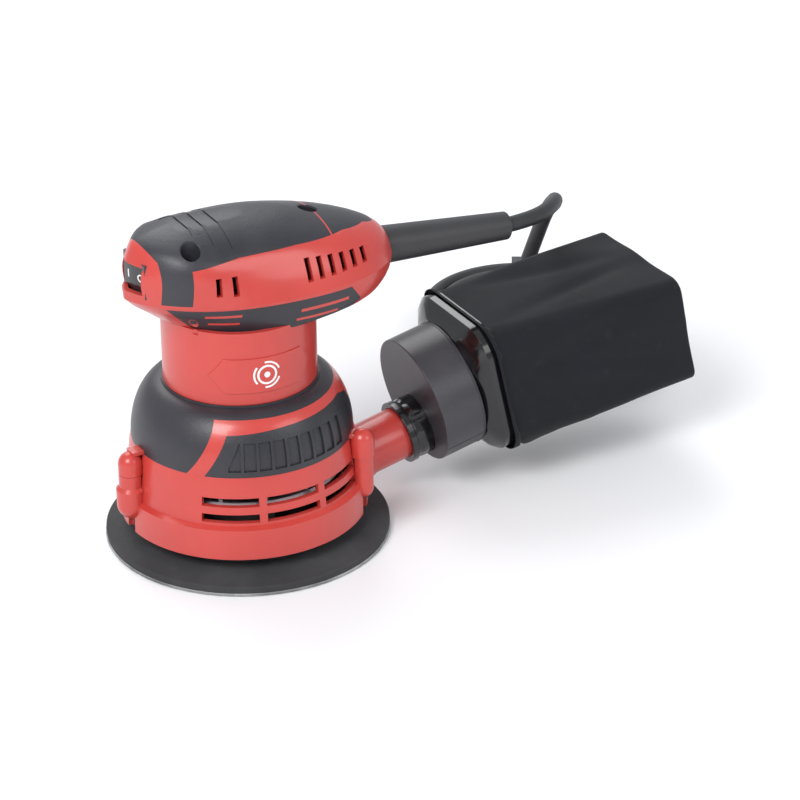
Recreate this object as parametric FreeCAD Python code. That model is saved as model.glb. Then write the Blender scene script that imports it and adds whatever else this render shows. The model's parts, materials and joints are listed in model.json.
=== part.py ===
import FreeCAD, Part
import math
import os

from FreeCAD import Vector

# Random-orbit sander.  Origin: motor axis, in the plane of the sanding face.
# +Z up, +X towards the cord and the dust outlet, millimetres throughout.

# ---- driving dimensions -------------------------------------------------
# pad
PAD_R = 61.5                 # backing pad, for 125 mm discs
ORBIT_OFFSET = 1.4           # pad axis from motor axis, 2.8 mm orbit
HOOK_T = 1.2
FOAM_RIM_Z = 4.2
FOAM_TOP_Z = 8.5
FOAM_TOP_R = 43.0
PLATE_R = 44.0
PLATE_T = 2.3
PAD_EYE_R = 11.0
DUST_HOLE_R = 5.0
DUST_HOLE_PCD = 65.0
DUST_HOLES = 8
# skirt
SKIRT_Z0 = 13.3
SKIRT_STEP_Z = 27.3
SKIRT_TOP_Z = 48.9
SKIRT_R = 53.4
SKIRT_UPPER_R = 50.5
SKIRT_TOP_R = 47.6
SKIRT_WALL = 2.4
BOSS_RING_R = 52.6
# Each screw boss: its angle, the post's radius, and its lowest and highest point.
BOSSES = ((180.0, 6.5, 19.0, 49.8), (40.0, 4.6, 20.0, 52.5), (-40.0, 4.6, 20.0, 52.5))
EAR_R = 5.2
EAR_Z = 40.0
POST_STEP_Z = 33.0
BOSS_HEAD_Z = 23.5
SLOT_ROWS = ((29.0, 32.7), (36.0, 39.9))
SLOT_SPAN = 28.3
SLOT_PITCH = 32.1
SLOT_COLUMNS = 3
# motor housing
DOME_TOP_Z = 74.4
NECK_R = 32.9
NECK_TOP_Z = 108.0
HOUSING_WALL = 2.5
GRIP_T = 1.3
PART_LINE_Z = 120.0
# head outline, at the part line
HEAD_FRONT = -50.5
HEAD_REAR = 70.5
HEAD_HALF = 33.5
COVER_WALL = 2.6
# dust outlet
DUCT_TILT = 12.7
DUCT_ROOT = Vector(53.0, 0.0, 21.3)
DUCT_R = 11.7
DUCT_BORE_R = 9.8
DUCT_INNER = -4.5
DUCT_END = 39.5
# dust bag
COLLAR_START = 23.1
COLLAR_END = 44.0
COLLAR_R = 13.4
COLLAR_FIT = 0.06
COLLAR_LIP = 3.0
BAG_UP = 12.2
DRUM_START = 34.0
DRUM_END = 54.0
DRUM_R = 28.75
DRUM_WALL = 2.2
FRAME_END = 66.0
FRAME_UP = 14.0
FRAME_FRONT = 60.0
FRAME_H = 63.0
FRAME_W = 61.0
FRAME_WALL = 3.0
BAG_START = 63.0
BAG_END = 159.5
BAG_MOUTH = (65.0, 66.0)
BAG_TAIL = (52.0, 69.0)
BAG_DROOP = 7.4
BAG_CORNER = 9.0
# motor
SHAFT_R = 5.0
SHAFT_FIT = 0.03
SHAFT_Z0 = 27.0
SHAFT_Z1 = 118.5
COUNTER_R = 34.0
CUP_R = 19.0
PAD_BEARING_R = 15.0
SPINDLE_R = 6.0
FAN_R = 43.0
FAN_Z = 33.5
FAN_BLADE_H = 8.0
FAN_BLADES = 14
CORE_R = 15.5
CORE_Z0 = 66.0
CORE_Z1 = 94.0
AIR_GAP = 0.6
STATOR_R = 27.0
COMM_R = 9.5
COMM_Z0 = 100.0
COMM_Z1 = 109.0
LOWER_BEARING_R = 13.0
UPPER_BEARING_R = 9.5
UPPER_BUSH_T = 1.5
# switch
ROCKER_PIVOT = Vector(-41.8, 0.0, 130.5)
ROCKER_HALF_W = 8.0
ROCKER_HALF_H = 5.5
ROCKER_TURN = 13.0
ROCKER_GAP = 0.5
TRUNNION_R = 1.2
# screws
COVER_SCREWS = ((-28.8, 18.0), (-28.8, -18.0), (33.5, 0.0))
WELL_R = 4.4
WELL_FLOOR_Z = 130.0
# cord
GUARD_START = Vector(68.0, 0.0, 118.7)
GUARD_DROOP = 4.0
GUARD_LENGTH = 62.0
GUARD_R0 = 8.3
GUARD_R1 = 6.2
CORD_R = 3.5
COIL_CENTRE = (206.0, 115.0)
COIL_TURN_R = (24.5, 31.5, 38.5, 45.5)
COIL_LAYERS = 2
PLUG_Y = 50.0
PLUG_R = 13.0
PIN_R = 2.4
PIN_SPACING = 19.0
PIN_LENGTH = 19.0

UP = Vector(0, 0, 1)
ORIGIN = Vector(0, 0, 0)


# ---- helpers ------------------------------------------------------------
def disc(radius, z0, z1, x=0.0, y=0.0):
    """A round bar standing on z0."""
    return Part.makeCylinder(radius, z1 - z0, Vector(x, y, z0), UP)


def ring(outer, inner, z0, z1, x=0.0, y=0.0):
    """A tube standing on z0."""
    return disc(outer, z0, z1, x, y).cut(disc(inner, z0 - 1, z1 + 1, x, y))


def box(x0, x1, y0, y1, z0, z1):
    """A block between two corners."""
    return Part.makeBox(x1 - x0, y1 - y0, z1 - z0, Vector(x0, y0, z0))


def turned(profile, x=0.0, y=0.0):
    """The closed (radius, z) profile turned about a vertical axis."""
    points = [Vector(x + r, y, z) for r, z in profile]
    points.append(points[0])
    face = Part.Face(Part.makePolygon(points))
    return face.revolve(Vector(x, y, 0), UP, 360)


def side_prism(outline, half_width=90.0):
    """A closed (x, z) outline pushed through the tool from side to side."""
    points = [Vector(x, -half_width, z) for x, z in outline]
    points.append(points[0])
    return Part.Face(Part.makePolygon(points)).extrude(Vector(0, 2 * half_width, 0))


def joined(shapes):
    """All the shapes as one solid."""
    whole = shapes[0].fuse(shapes[1:]) if len(shapes) > 1 else shapes[0]
    return whole.removeSplitter()


def group(shapes):
    """Separate solids kept in one node."""
    return Part.makeCompound(shapes)


def mirrored_pair(shape):
    """The shape and its mirror image across the tool's middle plane."""
    return [shape, shape.mirror(ORIGIN, Vector(0, 1, 0))]


def polar(radius, degrees):
    """The (x, y) point at a radius and a plan angle."""
    turn = math.radians(degrees)
    return radius * math.cos(turn), radius * math.sin(turn)


def on_duct(shape, up=0.0):
    """Moves a shape from +Z at the origin onto the dust outlet's axis, raised by up."""
    moved = shape.copy()
    moved.translate(Vector(-up, 0, 0))
    moved.rotate(ORIGIN, Vector(0, 1, 0), 90 - DUCT_TILT)
    moved.translate(DUCT_ROOT)
    return moved


def rounded_rectangle(height, width, radius, z):
    """A wire with round corners; its height runs along X and its width along Y."""
    a = height / 2 - radius
    b = width / 2 - radius
    centres = ((a, b, 0), (-a, b, 90), (-a, -b, 180), (a, -b, 270))
    arcs = []
    for cx, cy, start in centres:
        arcs.append([Vector(cx + radius * math.cos(math.radians(start + k * 45)),
                            cy + radius * math.sin(math.radians(start + k * 45)), z)
                     for k in range(3)])
    edges = []
    for k, arc in enumerate(arcs):
        edges.append(Part.Arc(*arc).toShape())
        edges.append(Part.LineSegment(arc[2], arcs[(k + 1) % 4][0]).toShape())
    return Part.Wire(edges)


LOW_OUTLINE = ((0.0, 0.0), (0.035, 0.26), (0.16, 0.68), (0.30, 0.90), (0.50, 1.0),
               (0.74, 0.925), (0.90, 0.66), (0.975, 0.34), (1.0, 0.0))
TOP_OUTLINE = ((0.0, 0.0), (0.035, 0.40), (0.17, 0.93), (0.34, 1.0), (0.56, 1.0),
               (0.76, 0.90), (0.91, 0.62), (0.978, 0.32), (1.0, 0.0))
# height, then how far the nose, the tail and the flank stand from the part line's outline, and
# how far the outline has changed from the low one to the top one
COVER_LEVELS = ((120.0, 0.0, 0.0, 0.0, 0.0), (127.0, -0.4, -2.0, -2.2, 0.4), (133.0, 0.2, -8.0, -5.0, 0.8),
                (139.0, 2.5, -22.0, -8.3, 1.0), (143.5, 5.2, -38.0, -13.2, 1.0),
                (147.0, 12.0, -52.0, -20.0, 1.0), (149.3, 20.5, -68.0, -27.0, 1.0))
BELLY_LEVELS = ((106.5, 17.6, -26.0, -2.0, 0.0), (108.5, 14.0, -9.0, -1.4, 0.0),
                (112.0, 9.5, -3.5, -0.8, 0.0), (116.0, 4.0, -0.8, -0.3, 0.0), (120.0, 0.0, 0.0, 0.0, 0.0))


LEVEL_STEPS = 3


def smooth_levels(levels):
    """The levels with more between them, on a curve through each."""
    fine = []
    last = len(levels) - 1
    for k in range(last):
        before, a, b, after = (levels[max(0, k - 1)], levels[k], levels[k + 1], levels[min(last, k + 2)])
        for step in range(LEVEL_STEPS):
            t = step / LEVEL_STEPS
            fine.append(tuple(
                a[i] + 0.5 * t * (b[i] - before[i] + t * (2 * before[i] - 5 * a[i] + 4 * b[i] - after[i]
                                                         + t * (3 * (a[i] - b[i]) + after[i] - before[i])))
                for i in range(len(a))))
    fine.append(levels[-1])
    return tuple(fine)


def head_section(level, inset):
    """The head's plan outline at one level: a blunt nose, full flanks and a tapered tail."""
    z, front, rear, half, blunt = level
    nose = HEAD_FRONT + front + inset
    tail = HEAD_REAR + rear - inset
    flank = HEAD_HALF + half - inset
    shape = [(lu + blunt * (tu - lu), lv + blunt * (tv - lv))
             for (lu, lv), (tu, tv) in zip(LOW_OUTLINE, TOP_OUTLINE)]
    right = [Vector(nose + u * (tail - nose), -v * flank, z) for u, v in shape]
    left = [Vector(p.x, -p.y, z) for p in reversed(right[1:-1])]
    curve = Part.BSplineCurve()
    curve.interpolate(Points=right + left, PeriodicFlag=True)
    return Part.Wire([curve.toShape()])


def head_loft(levels, inset=0.0):
    """The head's skin through its level outlines, drawn in by inset."""
    return Part.makeLoft([head_section(level, inset) for level in smooth_levels(levels)], True, True)


def dome_face(inset):
    """The dome's profile, from the axis out to its skin."""
    centre = Vector(NECK_R, 0, SKIRT_TOP_Z)
    tall = DOME_TOP_Z - SKIRT_TOP_Z - inset
    wide = SKIRT_TOP_R - NECK_R - inset
    ellipse = Part.Ellipse(centre + Vector(0, 0, tall), centre + Vector(wide, 0, 0), centre)
    # the long axis stands up, so a quarter of the curve runs from the top to the rim
    points = [ellipse.value(k * math.pi / 16) for k in range(9)]
    if points[-1].x < NECK_R:
        points = [Vector(2 * NECK_R - p.x, 0, p.z) for p in points]
    curve = Part.BSplineCurve()
    curve.interpolate(points)
    top = points[0]
    rim = points[-1]
    edges = [curve.toShape(),
             Part.LineSegment(rim, Vector(0, 0, rim.z)).toShape(),
             Part.LineSegment(Vector(0, 0, rim.z), Vector(0, 0, top.z)).toShape(),
             Part.LineSegment(Vector(0, 0, top.z), top).toShape()]
    return Part.Face(Part.Wire(Part.__sortEdges__(edges)))


def dome_solid(inset=0.0):
    """The dome, filled."""
    return dome_face(inset).revolve(ORIGIN, UP, 360)


# ---- pad ----------------------------------------------------------------
def dust_hole_cutters(z0, z1):
    """Round cutters on the pad's dust hole circle."""
    cutters = []
    for k in range(DUST_HOLES):
        x, y = polar(DUST_HOLE_PCD / 2, 360.0 * (k + 0.5) / DUST_HOLES)
        cutters.append(disc(DUST_HOLE_R, z0 - 1, z1 + 1, ORBIT_OFFSET + x, y))
    return cutters


PLATE_Z1 = FOAM_TOP_Z + PLATE_T
HUB_TOP_Z = 14.0
SCREW_R = 3.0
SCREW_CLEAR = 0.05
CUP_Z0 = 15.8
RETAINER_T = 1.0
BEARING_Z1 = 25.0
CUP_ROOF_Z = 25.6


def pad_parts():
    """Hook face, foam, backing plate and the screw that holds them."""
    x = ORBIT_OFFSET
    hook = ring(PAD_R, PAD_EYE_R, 0, HOOK_T, x)
    foam = turned([(PAD_EYE_R, HOOK_T), (PAD_R, HOOK_T), (PAD_R, FOAM_RIM_Z),
                   (FOAM_TOP_R + 7, FOAM_TOP_Z - 1.2), (FOAM_TOP_R, FOAM_TOP_Z),
                   (PAD_EYE_R, FOAM_TOP_Z)], x)
    plate = joined([disc(PLATE_R, FOAM_TOP_Z, PLATE_Z1, x), disc(12.0, PLATE_Z1, HUB_TOP_Z, x)])
    plate = plate.cut(disc(SCREW_R + SCREW_CLEAR, 0, 20, x))
    head_z0 = FOAM_TOP_Z - 5.0
    washer_z0 = FOAM_TOP_Z - 1.0
    screw = joined([disc(6.0, head_z0, washer_z0, x), disc(SCREW_R, head_z0 + 1, 22.0, x)])
    hexagon = [Vector(x + px, py, head_z0 - 1) for px, py in (polar(2.9, 60 * k) for k in range(6))]
    hexagon.append(hexagon[0])
    screw = screw.cut(Part.Face(Part.makePolygon(hexagon)).extrude(Vector(0, 0, 3.6)))
    return {
        "hook_layer": hook.cut(dust_hole_cutters(0, HOOK_T)),
        "pad_foam": foam.cut(dust_hole_cutters(HOOK_T, FOAM_TOP_Z)),
        "pad_plate": plate.cut(dust_hole_cutters(FOAM_TOP_Z, PLATE_Z1)),
        "pad_washer": ring(8.5, SCREW_R + SCREW_CLEAR, washer_z0, FOAM_TOP_Z, x),
        "pad_screw": screw,
    }


# ---- drive --------------------------------------------------------------
def drive_parts():
    """Everything that turns with the armature, and the spindle that carries the pad."""
    x = ORBIT_OFFSET
    spindle = joined([disc(9.5, HUB_TOP_Z, HUB_TOP_Z + 1.2, x),
                      disc(SPINDLE_R, HUB_TOP_Z, BEARING_Z1, x)])
    spindle = spindle.cut(disc(SCREW_R, HUB_TOP_Z - 1, 22.0, x))
    bearing_z0 = CUP_Z0 + RETAINER_T
    cup = joined([disc(CUP_R, CUP_Z0, FAN_Z), disc(COUNTER_R, 20.0, 29.0).common(
        box(-60, -2, -60, 60, 0, 60))])
    cup = cup.cut([disc(PAD_BEARING_R, 0, CUP_ROOF_Z, x), disc(SHAFT_R, SHAFT_Z0, 60)])
    shaft = joined([disc(SHAFT_R, SHAFT_Z0, 98.0), disc(4.0, 98.0, SHAFT_Z1)])
    blades = []
    for k in range(FAN_BLADES):
        blade = box(14.0, FAN_R, -0.8, 0.8, FAN_Z + 1.4, FAN_Z + 1.6 + FAN_BLADE_H)
        blade.rotate(ORIGIN, UP, 360.0 * k / FAN_BLADES)
        blades.append(blade)
    fan = joined([disc(FAN_R + 0.5, FAN_Z, FAN_Z + 1.6), disc(9.0, FAN_Z, FAN_Z + 12.0)] + blades)
    fan = fan.cut(disc(SHAFT_R, 0, 90))
    core = ring(CORE_R, SHAFT_R, CORE_Z0, CORE_Z1)
    slots = []
    for k in range(12):
        slot = box(CORE_R - 4.0, CORE_R + 1, -0.9, 0.9, CORE_Z0 - 1, CORE_Z1 + 1)
        slot.rotate(ORIGIN, UP, 30.0 * k)
        slots.append(slot)
    comm = ring(COMM_R, 4.0, COMM_Z0, COMM_Z1)
    bars = []
    for k in range(16):
        bar = box(COMM_R - 1.0, COMM_R + 1, -0.25, 0.25, COMM_Z0 - 1, COMM_Z1 + 1)
        bar.rotate(ORIGIN, UP, 22.5 * k)
        bars.append(bar)
    winding_low = turned([(SHAFT_R, 61.5), (11.0, 61.5), (13.5, 63.5), (13.5, CORE_Z0), (SHAFT_R, CORE_Z0)])
    winding_high = turned([(SHAFT_R, CORE_Z1), (13.5, CORE_Z1), (13.5, 96.5), (11.0, 98.0),
                           (SHAFT_R, 98.0)])
    return {
        "spindle": spindle,
        "pad_bearing": ring(PAD_BEARING_R, SPINDLE_R + SHAFT_FIT, bearing_z0, BEARING_Z1, x),
        "retaining_ring": ring(PAD_BEARING_R, 12.0, CUP_Z0, bearing_z0, x),
        "counterweight": cup,
        "armature_shaft": shaft,
        "fan": fan,
        "armature_core": core.cut(slots),
        "armature_windings": group([winding_low, winding_high]),
        "commutator": comm.cut(bars),
        "insulation_washer": ring(8.0, SHAFT_R, FAN_Z + 12.0, FAN_Z + 13.0),
    }


# ---- fixed motor parts --------------------------------------------------
LOWER_BEARING_Z0 = 50.5
LOWER_BEARING_Z1 = 58.5
UPPER_BEARING_Z0 = 111.5
UPPER_BEARING_Z1 = 117.5
SEAT_T = 2.0
RETAINER_SCREW_R = 18.5


def motor_parts():
    """The stator, brushes and bearings that stay with the housing."""
    stator = ring(STATOR_R, CORE_R + AIR_GAP, CORE_Z0, CORE_Z1)
    coil_ring = [ring(STATOR_R - 2, CORE_R + 2.5, CORE_Z0 - 4, CORE_Z0),
                 ring(STATOR_R - 2, CORE_R + 2.5, CORE_Z1, CORE_Z1 + 4)]
    gap = box(-60, 60, -4, 4, 0, 120)
    coils = [piece for half in coil_ring for piece in half.cut(gap).Solids]
    holders = []
    brushes = []
    springs = []
    for side in (1, -1):
        tube = box(-4.2, 4.2, 11.0, 25.0, COMM_Z0 + 0.5, COMM_Z1 - 0.5)
        bore = box(-3.0, 3.0, 0, 24.0, COMM_Z0 + 1.7, COMM_Z1 - 1.7)
        brush = box(-2.9, 2.9, COMM_R + 0.3, 18.0, COMM_Z0 + 1.8, COMM_Z1 - 1.8)
        z_mid = (COMM_Z0 + COMM_Z1) / 2
        spring = Part.makeCylinder(2.2, 6.0, Vector(0, 18.0, z_mid), Vector(0, 1, 0))
        spring = spring.cut(Part.makeCylinder(1.5, 8.0, Vector(0, 17.0, z_mid), Vector(0, 1, 0)))
        for shape, where in ((tube.cut(bore), holders), (brush, brushes), (spring, springs)):
            if side < 0:
                shape = shape.mirror(ORIGIN, Vector(0, 1, 0))
            where.append(shape)
    plate = ring(22.0, 9.0, LOWER_BEARING_Z1, LOWER_BEARING_Z1 + 1.2)
    screws = []
    for k in range(3):
        sx, sy = polar(RETAINER_SCREW_R, 120.0 * k + 60)
        plate = plate.cut(disc(1.6, 40, 70, sx, sy))
        screws.append(joined([disc(1.55, 52.0, 60.0, sx, sy),
                              disc(2.8, LOWER_BEARING_Z1 + 1.2, LOWER_BEARING_Z1 + 2.4, sx, sy)]))
    return {
        "stator_core": stator,
        "field_coils": group(coils),
        "brush_holders": group(holders),
        "carbon_brushes": group(brushes),
        "brush_springs": group(springs),
        "lower_bearing": ring(LOWER_BEARING_R, SHAFT_R + SHAFT_FIT, LOWER_BEARING_Z0, LOWER_BEARING_Z1),
        "bearing_retainer": plate,
        "retainer_screws": group(screws),
        "upper_bearing": ring(UPPER_BEARING_R, 4.0 + SHAFT_FIT, UPPER_BEARING_Z0, UPPER_BEARING_Z1),
        "upper_bearing_bush": ring(UPPER_BEARING_R + UPPER_BUSH_T, UPPER_BEARING_R,
                                   UPPER_BEARING_Z0, UPPER_BEARING_Z1),
    }


# ---- skirt --------------------------------------------------------------
def slot_cutters():
    """Wedge-sided cooling slots in rows and columns on both flanks."""
    cutters = []
    for z0, z1 in SLOT_ROWS:
        for column in range(SLOT_COLUMNS):
            middle = -90.0 + (column - (SLOT_COLUMNS - 1) / 2) * SLOT_PITCH
            blade = Part.makeCylinder(SKIRT_R + 8, z1 - z0, Vector(0, 0, z0), UP, SLOT_SPAN)
            blade.rotate(ORIGIN, UP, middle - SLOT_SPAN / 2)
            blade = blade.cut(disc(SKIRT_TOP_R - 8, z0 - 1, z1 + 1))
            cutters += mirrored_pair(blade)
    return cutters


def boss_positions():
    return [polar(BOSS_RING_R, row[0]) for row in BOSSES]


def skirt_parts():
    """The skirt with its outlet, the brake ring, the baffle and the screws up into the housing."""
    wall = SKIRT_WALL
    shell = turned([(SKIRT_R, SKIRT_Z0), (SKIRT_R - 0.2, SKIRT_STEP_Z - 0.4),
                    (SKIRT_UPPER_R + 1.0, SKIRT_STEP_Z + 0.2), (SKIRT_UPPER_R, SKIRT_STEP_Z + 0.6),
                    (SKIRT_TOP_R + 0.7, SKIRT_TOP_Z - 2.9), (SKIRT_TOP_R, SKIRT_TOP_Z),
                    (SKIRT_TOP_R - 4.0, SKIRT_TOP_Z), (SKIRT_TOP_R - 4.0, SKIRT_TOP_Z - 1.8),
                    (SKIRT_TOP_R + 0.7 - wall, SKIRT_TOP_Z - 2.9),
                    (SKIRT_UPPER_R - wall, SKIRT_STEP_Z + 0.6),
                    (SKIRT_R - wall - 0.2, SKIRT_STEP_Z - 2.0), (SKIRT_R - wall, SKIRT_Z0)])
    shell = shell.cut(slot_cutters())
    duct = on_duct(disc(DUCT_R, DUCT_INNER, DUCT_END))
    root = on_duct(Part.makeCone(DUCT_R + 2.2, DUCT_R, 6.0, Vector(0, 0, 0), UP))
    skirt = joined([shell, duct.cut(disc(SKIRT_R - wall, 0, 60)), root.cut(disc(SKIRT_R - wall, 0, 60))])
    skirt = skirt.cut(on_duct(disc(DUCT_BORE_R, DUCT_INNER - 6, DUCT_END + 1)))
    posts = []
    cutters = []
    screws = []
    for (_, radius, low, _), (bx, by) in zip(BOSSES, boss_positions()):
        posts.append(disc(radius, low + radius, POST_STEP_Z, bx, by))
        posts.append(Part.makeSphere(radius, Vector(bx, by, low + radius)))
        posts.append(Part.makeCone(radius, min(radius, EAR_R) - 0.2, 1.5, Vector(bx, by, POST_STEP_Z)))
        posts.append(disc(min(radius, EAR_R), POST_STEP_Z + 1, EAR_Z, bx, by))
        cutters.append(disc(EAR_R + 0.1, EAR_Z, SKIRT_TOP_Z + 4, bx, by))
        cutters.append(disc(3.4, 0, BOSS_HEAD_Z, bx, by))
        cutters.append(disc(2.0, 0, 60, bx, by))
        screws.append(joined([disc(3.2, BOSS_HEAD_Z - 2.5, BOSS_HEAD_Z, bx, by),
                              disc(1.9, BOSS_HEAD_Z - 1.5, EAR_Z + 5.0, bx, by)]))
    skirt = joined([skirt] + [p.cut(disc(SKIRT_R - wall - 1, 0, 60)) for p in posts]).cut(cutters)
    brake = turned([(46.5, 9.0), (47.3, 8.8), (SKIRT_R - wall, SKIRT_Z0 - 0.6),
                    (SKIRT_R - wall, SKIRT_Z0 + 4.0), (SKIRT_R - wall - 1.6, SKIRT_Z0 + 4.0),
                    (SKIRT_R - wall - 1.6, SKIRT_Z0)])
    brake = brake.cut(on_duct(disc(DUCT_BORE_R + 0.1, -12, 20)))
    brake = brake.cut(skirt)
    return {
        "skirt": skirt,
        "skirt_screws": group(screws),
        "brake_ring": max(brake.Solids, key=lambda solid: solid.Volume),
        "baffle_ring": ring(SKIRT_TOP_R - 4.2, 12.0, SKIRT_TOP_Z - 1.6, SKIRT_TOP_Z),
    }


# ---- housing and head ---------------------------------------------------
SHOULDER_FRONT = ((-70, 48.0), (-39.0, 48.9), (-26.2, 72.2), (-24.0, 76.0), (-70, 76.0))
SHOULDER_PANEL = ((-34.0, 48.0), (-33.5, 49.5), (-24.2, 66.5), (0, 68.0), (32.0, 68.8), (38.5, 66.0),
                  (43.0, 59.0), (44.0, 48.0))
WAIST_BAND = ((-39.8, 119.3), (-31.5, 111.0), (-24.0, 104.5), (28.0, 104.5), (36.0, 107.6), (43.5, 111.0),
              (38.0, 118.4), (-37.0, 119.3))
GRIP_OUTLINE = ((-41.5, 121.6), (-41.8, 140.0), (-45.6, 146.6), (-60, 149.0), (-60, 170), (90, 170),
                (66.0, 133.5), (62.0, 133.0), (55.0, 135.6), (41.0, 138.0), (16.0, 139.4),
                (-10.0, 139.6), (-31.0, 137.8), (-31.0, 121.6))
# Each groove across the grip: x from, x to, half width.
GROOVES = ((-29.5, -24.6, 11.5), (-23.2, -18.2, 18.5), (-16.8, -11.3, 21.5), (34.3, 35.1, 30.0))
GROOVE_DEPTH = 0.6
WINDOW_ANGLES = tuple(-119.5 + 7.95 * k for k in range(9))
WINDOW_SPAN = 6.3
WINDOW_FIELD = ((-26.6, 51.5), (-20.6, 63.5), (60.0, 63.5), (60.0, 51.5))
WINDOW_DEPTH = 0.9
WAIST_SLITS = ((-26.0, -12.0, 115.2, 116.4), (-24.0, -12.5, 111.2, 112.3), (13.5, 36.5, 113.0, 114.4),
               (11.5, 31.0, 109.2, 110.3))
# The badge's middle x and z, half width and half height.
BADGE = (-3.2, 88.6, 21.8, 7.8)
RING_TOP_Z = 71.7


def dome_skin(depth):
    """A layer of the dome, depth thick, outside the neck."""
    return dome_solid(0.0).cut([dome_solid(depth), disc(NECK_R, SKIRT_TOP_Z - 1, DOME_TOP_Z + 1)])


def shoulder_grip():
    """Soft overmould: the dome's top ring, its front and a panel on each flank."""
    skin = dome_skin(GRIP_T)
    top = skin.common(box(-70, 70, -70, 70, RING_TOP_Z, 90))
    front = skin.common(side_prism(SHOULDER_FRONT))
    panel = skin.common(side_prism(SHOULDER_PANEL))
    collar = ring(NECK_R + 0.9, NECK_R, DOME_TOP_Z - 0.4, DOME_TOP_Z + 0.9)
    whole = top.fuse([front, panel, collar]).cut(ear_blocks(0.1))
    layer = dome_skin(WINDOW_DEPTH)
    windows = []
    for middle in WINDOW_ANGLES:
        wedge = Part.makeCylinder(SKIRT_R, 20.0, Vector(0, 0, 48.0), UP, WINDOW_SPAN)
        wedge.rotate(ORIGIN, UP, middle - WINDOW_SPAN / 2)
        windows += mirrored_pair(wedge.common(layer).common(side_prism(WINDOW_FIELD)))
    return whole.cut(windows)


def ear_blocks(clearance=0.0):
    """The three lugs that the skirt's screws pull down on."""
    blocks = []
    for angle, _, _, top in BOSSES:
        bx, by = polar(BOSS_RING_R, angle)
        blocks.append(disc(EAR_R + clearance, EAR_Z + 0.2, top - EAR_R, bx, by))
        blocks.append(Part.makeSphere(EAR_R + clearance, Vector(bx, by, top - EAR_R)))
        half = 0.6 * EAR_R + clearance
        web_top = max(top - 2.0, SKIRT_TOP_Z + 1.6)
        web = box(SKIRT_TOP_R - 3.0, BOSS_RING_R, -half, half, SKIRT_TOP_Z, web_top + clearance)
        web.rotate(ORIGIN, UP, angle)
        blocks.append(web)
    return blocks


def head_belly():
    """The housing's lower half of the head, filled."""
    return head_loft(BELLY_LEVELS)


def waist_grip(belly):
    """Soft band under each side of the head."""
    core = head_loft(BELLY_LEVELS, GRIP_T)
    band = belly.common(side_prism(WAIST_BAND)).cut(core)
    for x0, x1, z0, z1 in WAIST_SLITS:
        band = band.cut(box(x0, x1, -60, 60, z0, z1))
    band = band.cut(cover_screw_posts(2.0, 100.0, PART_LINE_Z + 1))
    return group([s for s in band.Solids if s.Volume > 20])


def badge_plate():
    """A plain raised hexagonal badge on the seen side of the neck."""
    x, z, half_width, half_height = BADGE
    cut_corner = 5.0
    outline = ((-half_width, 0), (-half_width + cut_corner, -half_height),
               (half_width - cut_corner, -half_height), (half_width, 0),
               (half_width - cut_corner, half_height), (-half_width + cut_corner, half_height))
    points = [Vector(x + dx, -60, z + dz) for dx, dz in outline]
    points.append(points[0])
    prism = Part.Face(Part.makePolygon(points)).extrude(Vector(0, 60, 0))
    return ring(NECK_R + 0.5, NECK_R, z - half_height - 1, z + half_height + 1).common(prism)


def cover_screw_posts(radius, z0, z1):
    return [disc(radius, z0, z1, x, y) for x, y in COVER_SCREWS]


def bearing_seats():
    """The web that holds the lower bearing and the crown that holds the upper one."""
    seat = ring(SKIRT_TOP_R - 1.0, LOWER_BEARING_R, LOWER_BEARING_Z0, LOWER_BEARING_Z1 - 4)
    seat = seat.fuse(ring(LOWER_BEARING_R + 9, LOWER_BEARING_R, LOWER_BEARING_Z0, LOWER_BEARING_Z1))
    holes = []
    for k in range(3):
        sx, sy = polar(RETAINER_SCREW_R, 120.0 * k + 60)
        holes.append(disc(1.6, 51.5, 60, sx, sy))
    for k in range(8):
        vx, vy = polar(32.0, 45.0 * k + 22.5)
        holes.append(disc(4.5, 45, 60, vx, vy))
    bush_r = UPPER_BEARING_R + UPPER_BUSH_T
    crown = ring(bush_r + SEAT_T, bush_r, UPPER_BEARING_Z0 - 1, UPPER_BEARING_Z1)
    arms = []
    for k in range(3):
        arm = box(bush_r + 0.5, NECK_R + 20, -2.5, 2.5, UPPER_BEARING_Z0 - 1, UPPER_BEARING_Z1 - 2)
        arm.rotate(ORIGIN, UP, 120.0 * k)
        arms.append(arm)
    return [seat.cut(holes), crown.fuse(arms)]


def motor_housing(belly, shoulder, waist):
    """Belly, neck and dome in one shell, with the bearing seats and screw posts inside."""
    wall = HOUSING_WALL
    outer = dome_solid(0.0).fuse([disc(NECK_R, DOME_TOP_Z - 1, NECK_TOP_Z), belly])
    belly_room = head_loft(BELLY_LEVELS, wall).cut(box(-90, 90, -90, 90, 100, BELLY_LEVELS[0][0] + wall))
    brim = head_section(BELLY_LEVELS[-1], wall)
    room = dome_solid(wall).fuse([
        disc(NECK_R - wall, DOME_TOP_Z - 4, BELLY_LEVELS[0][0] + wall + 0.5), belly_room,
        Part.Face(brim).extrude(Vector(0, 0, 1)),
        disc(SKIRT_TOP_R - 4.5, SKIRT_TOP_Z - 1, SKIRT_TOP_Z + 1)])
    kept = bearing_seats() + cover_screw_posts(5.6, 100.0, PART_LINE_Z)
    room = room.cut(kept)
    shell = outer.cut(room)
    ears = [block.cut(dome_solid(wall)) for block in ear_blocks()]
    body = shell.fuse(ears)
    cutters = cover_screw_posts(1.7, 106.0, 130.0)
    cutters += [disc(1.9, 30, EAR_Z + 8.2, bx, by) for bx, by in boss_positions()]
    cutters.append(guard_shape(0.2, solid=True))
    body = body.cut(cutters)
    body = body.cut(shoulder.Solids + waist.Solids)
    return max(body.Solids, key=lambda solid: solid.Volume)


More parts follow.
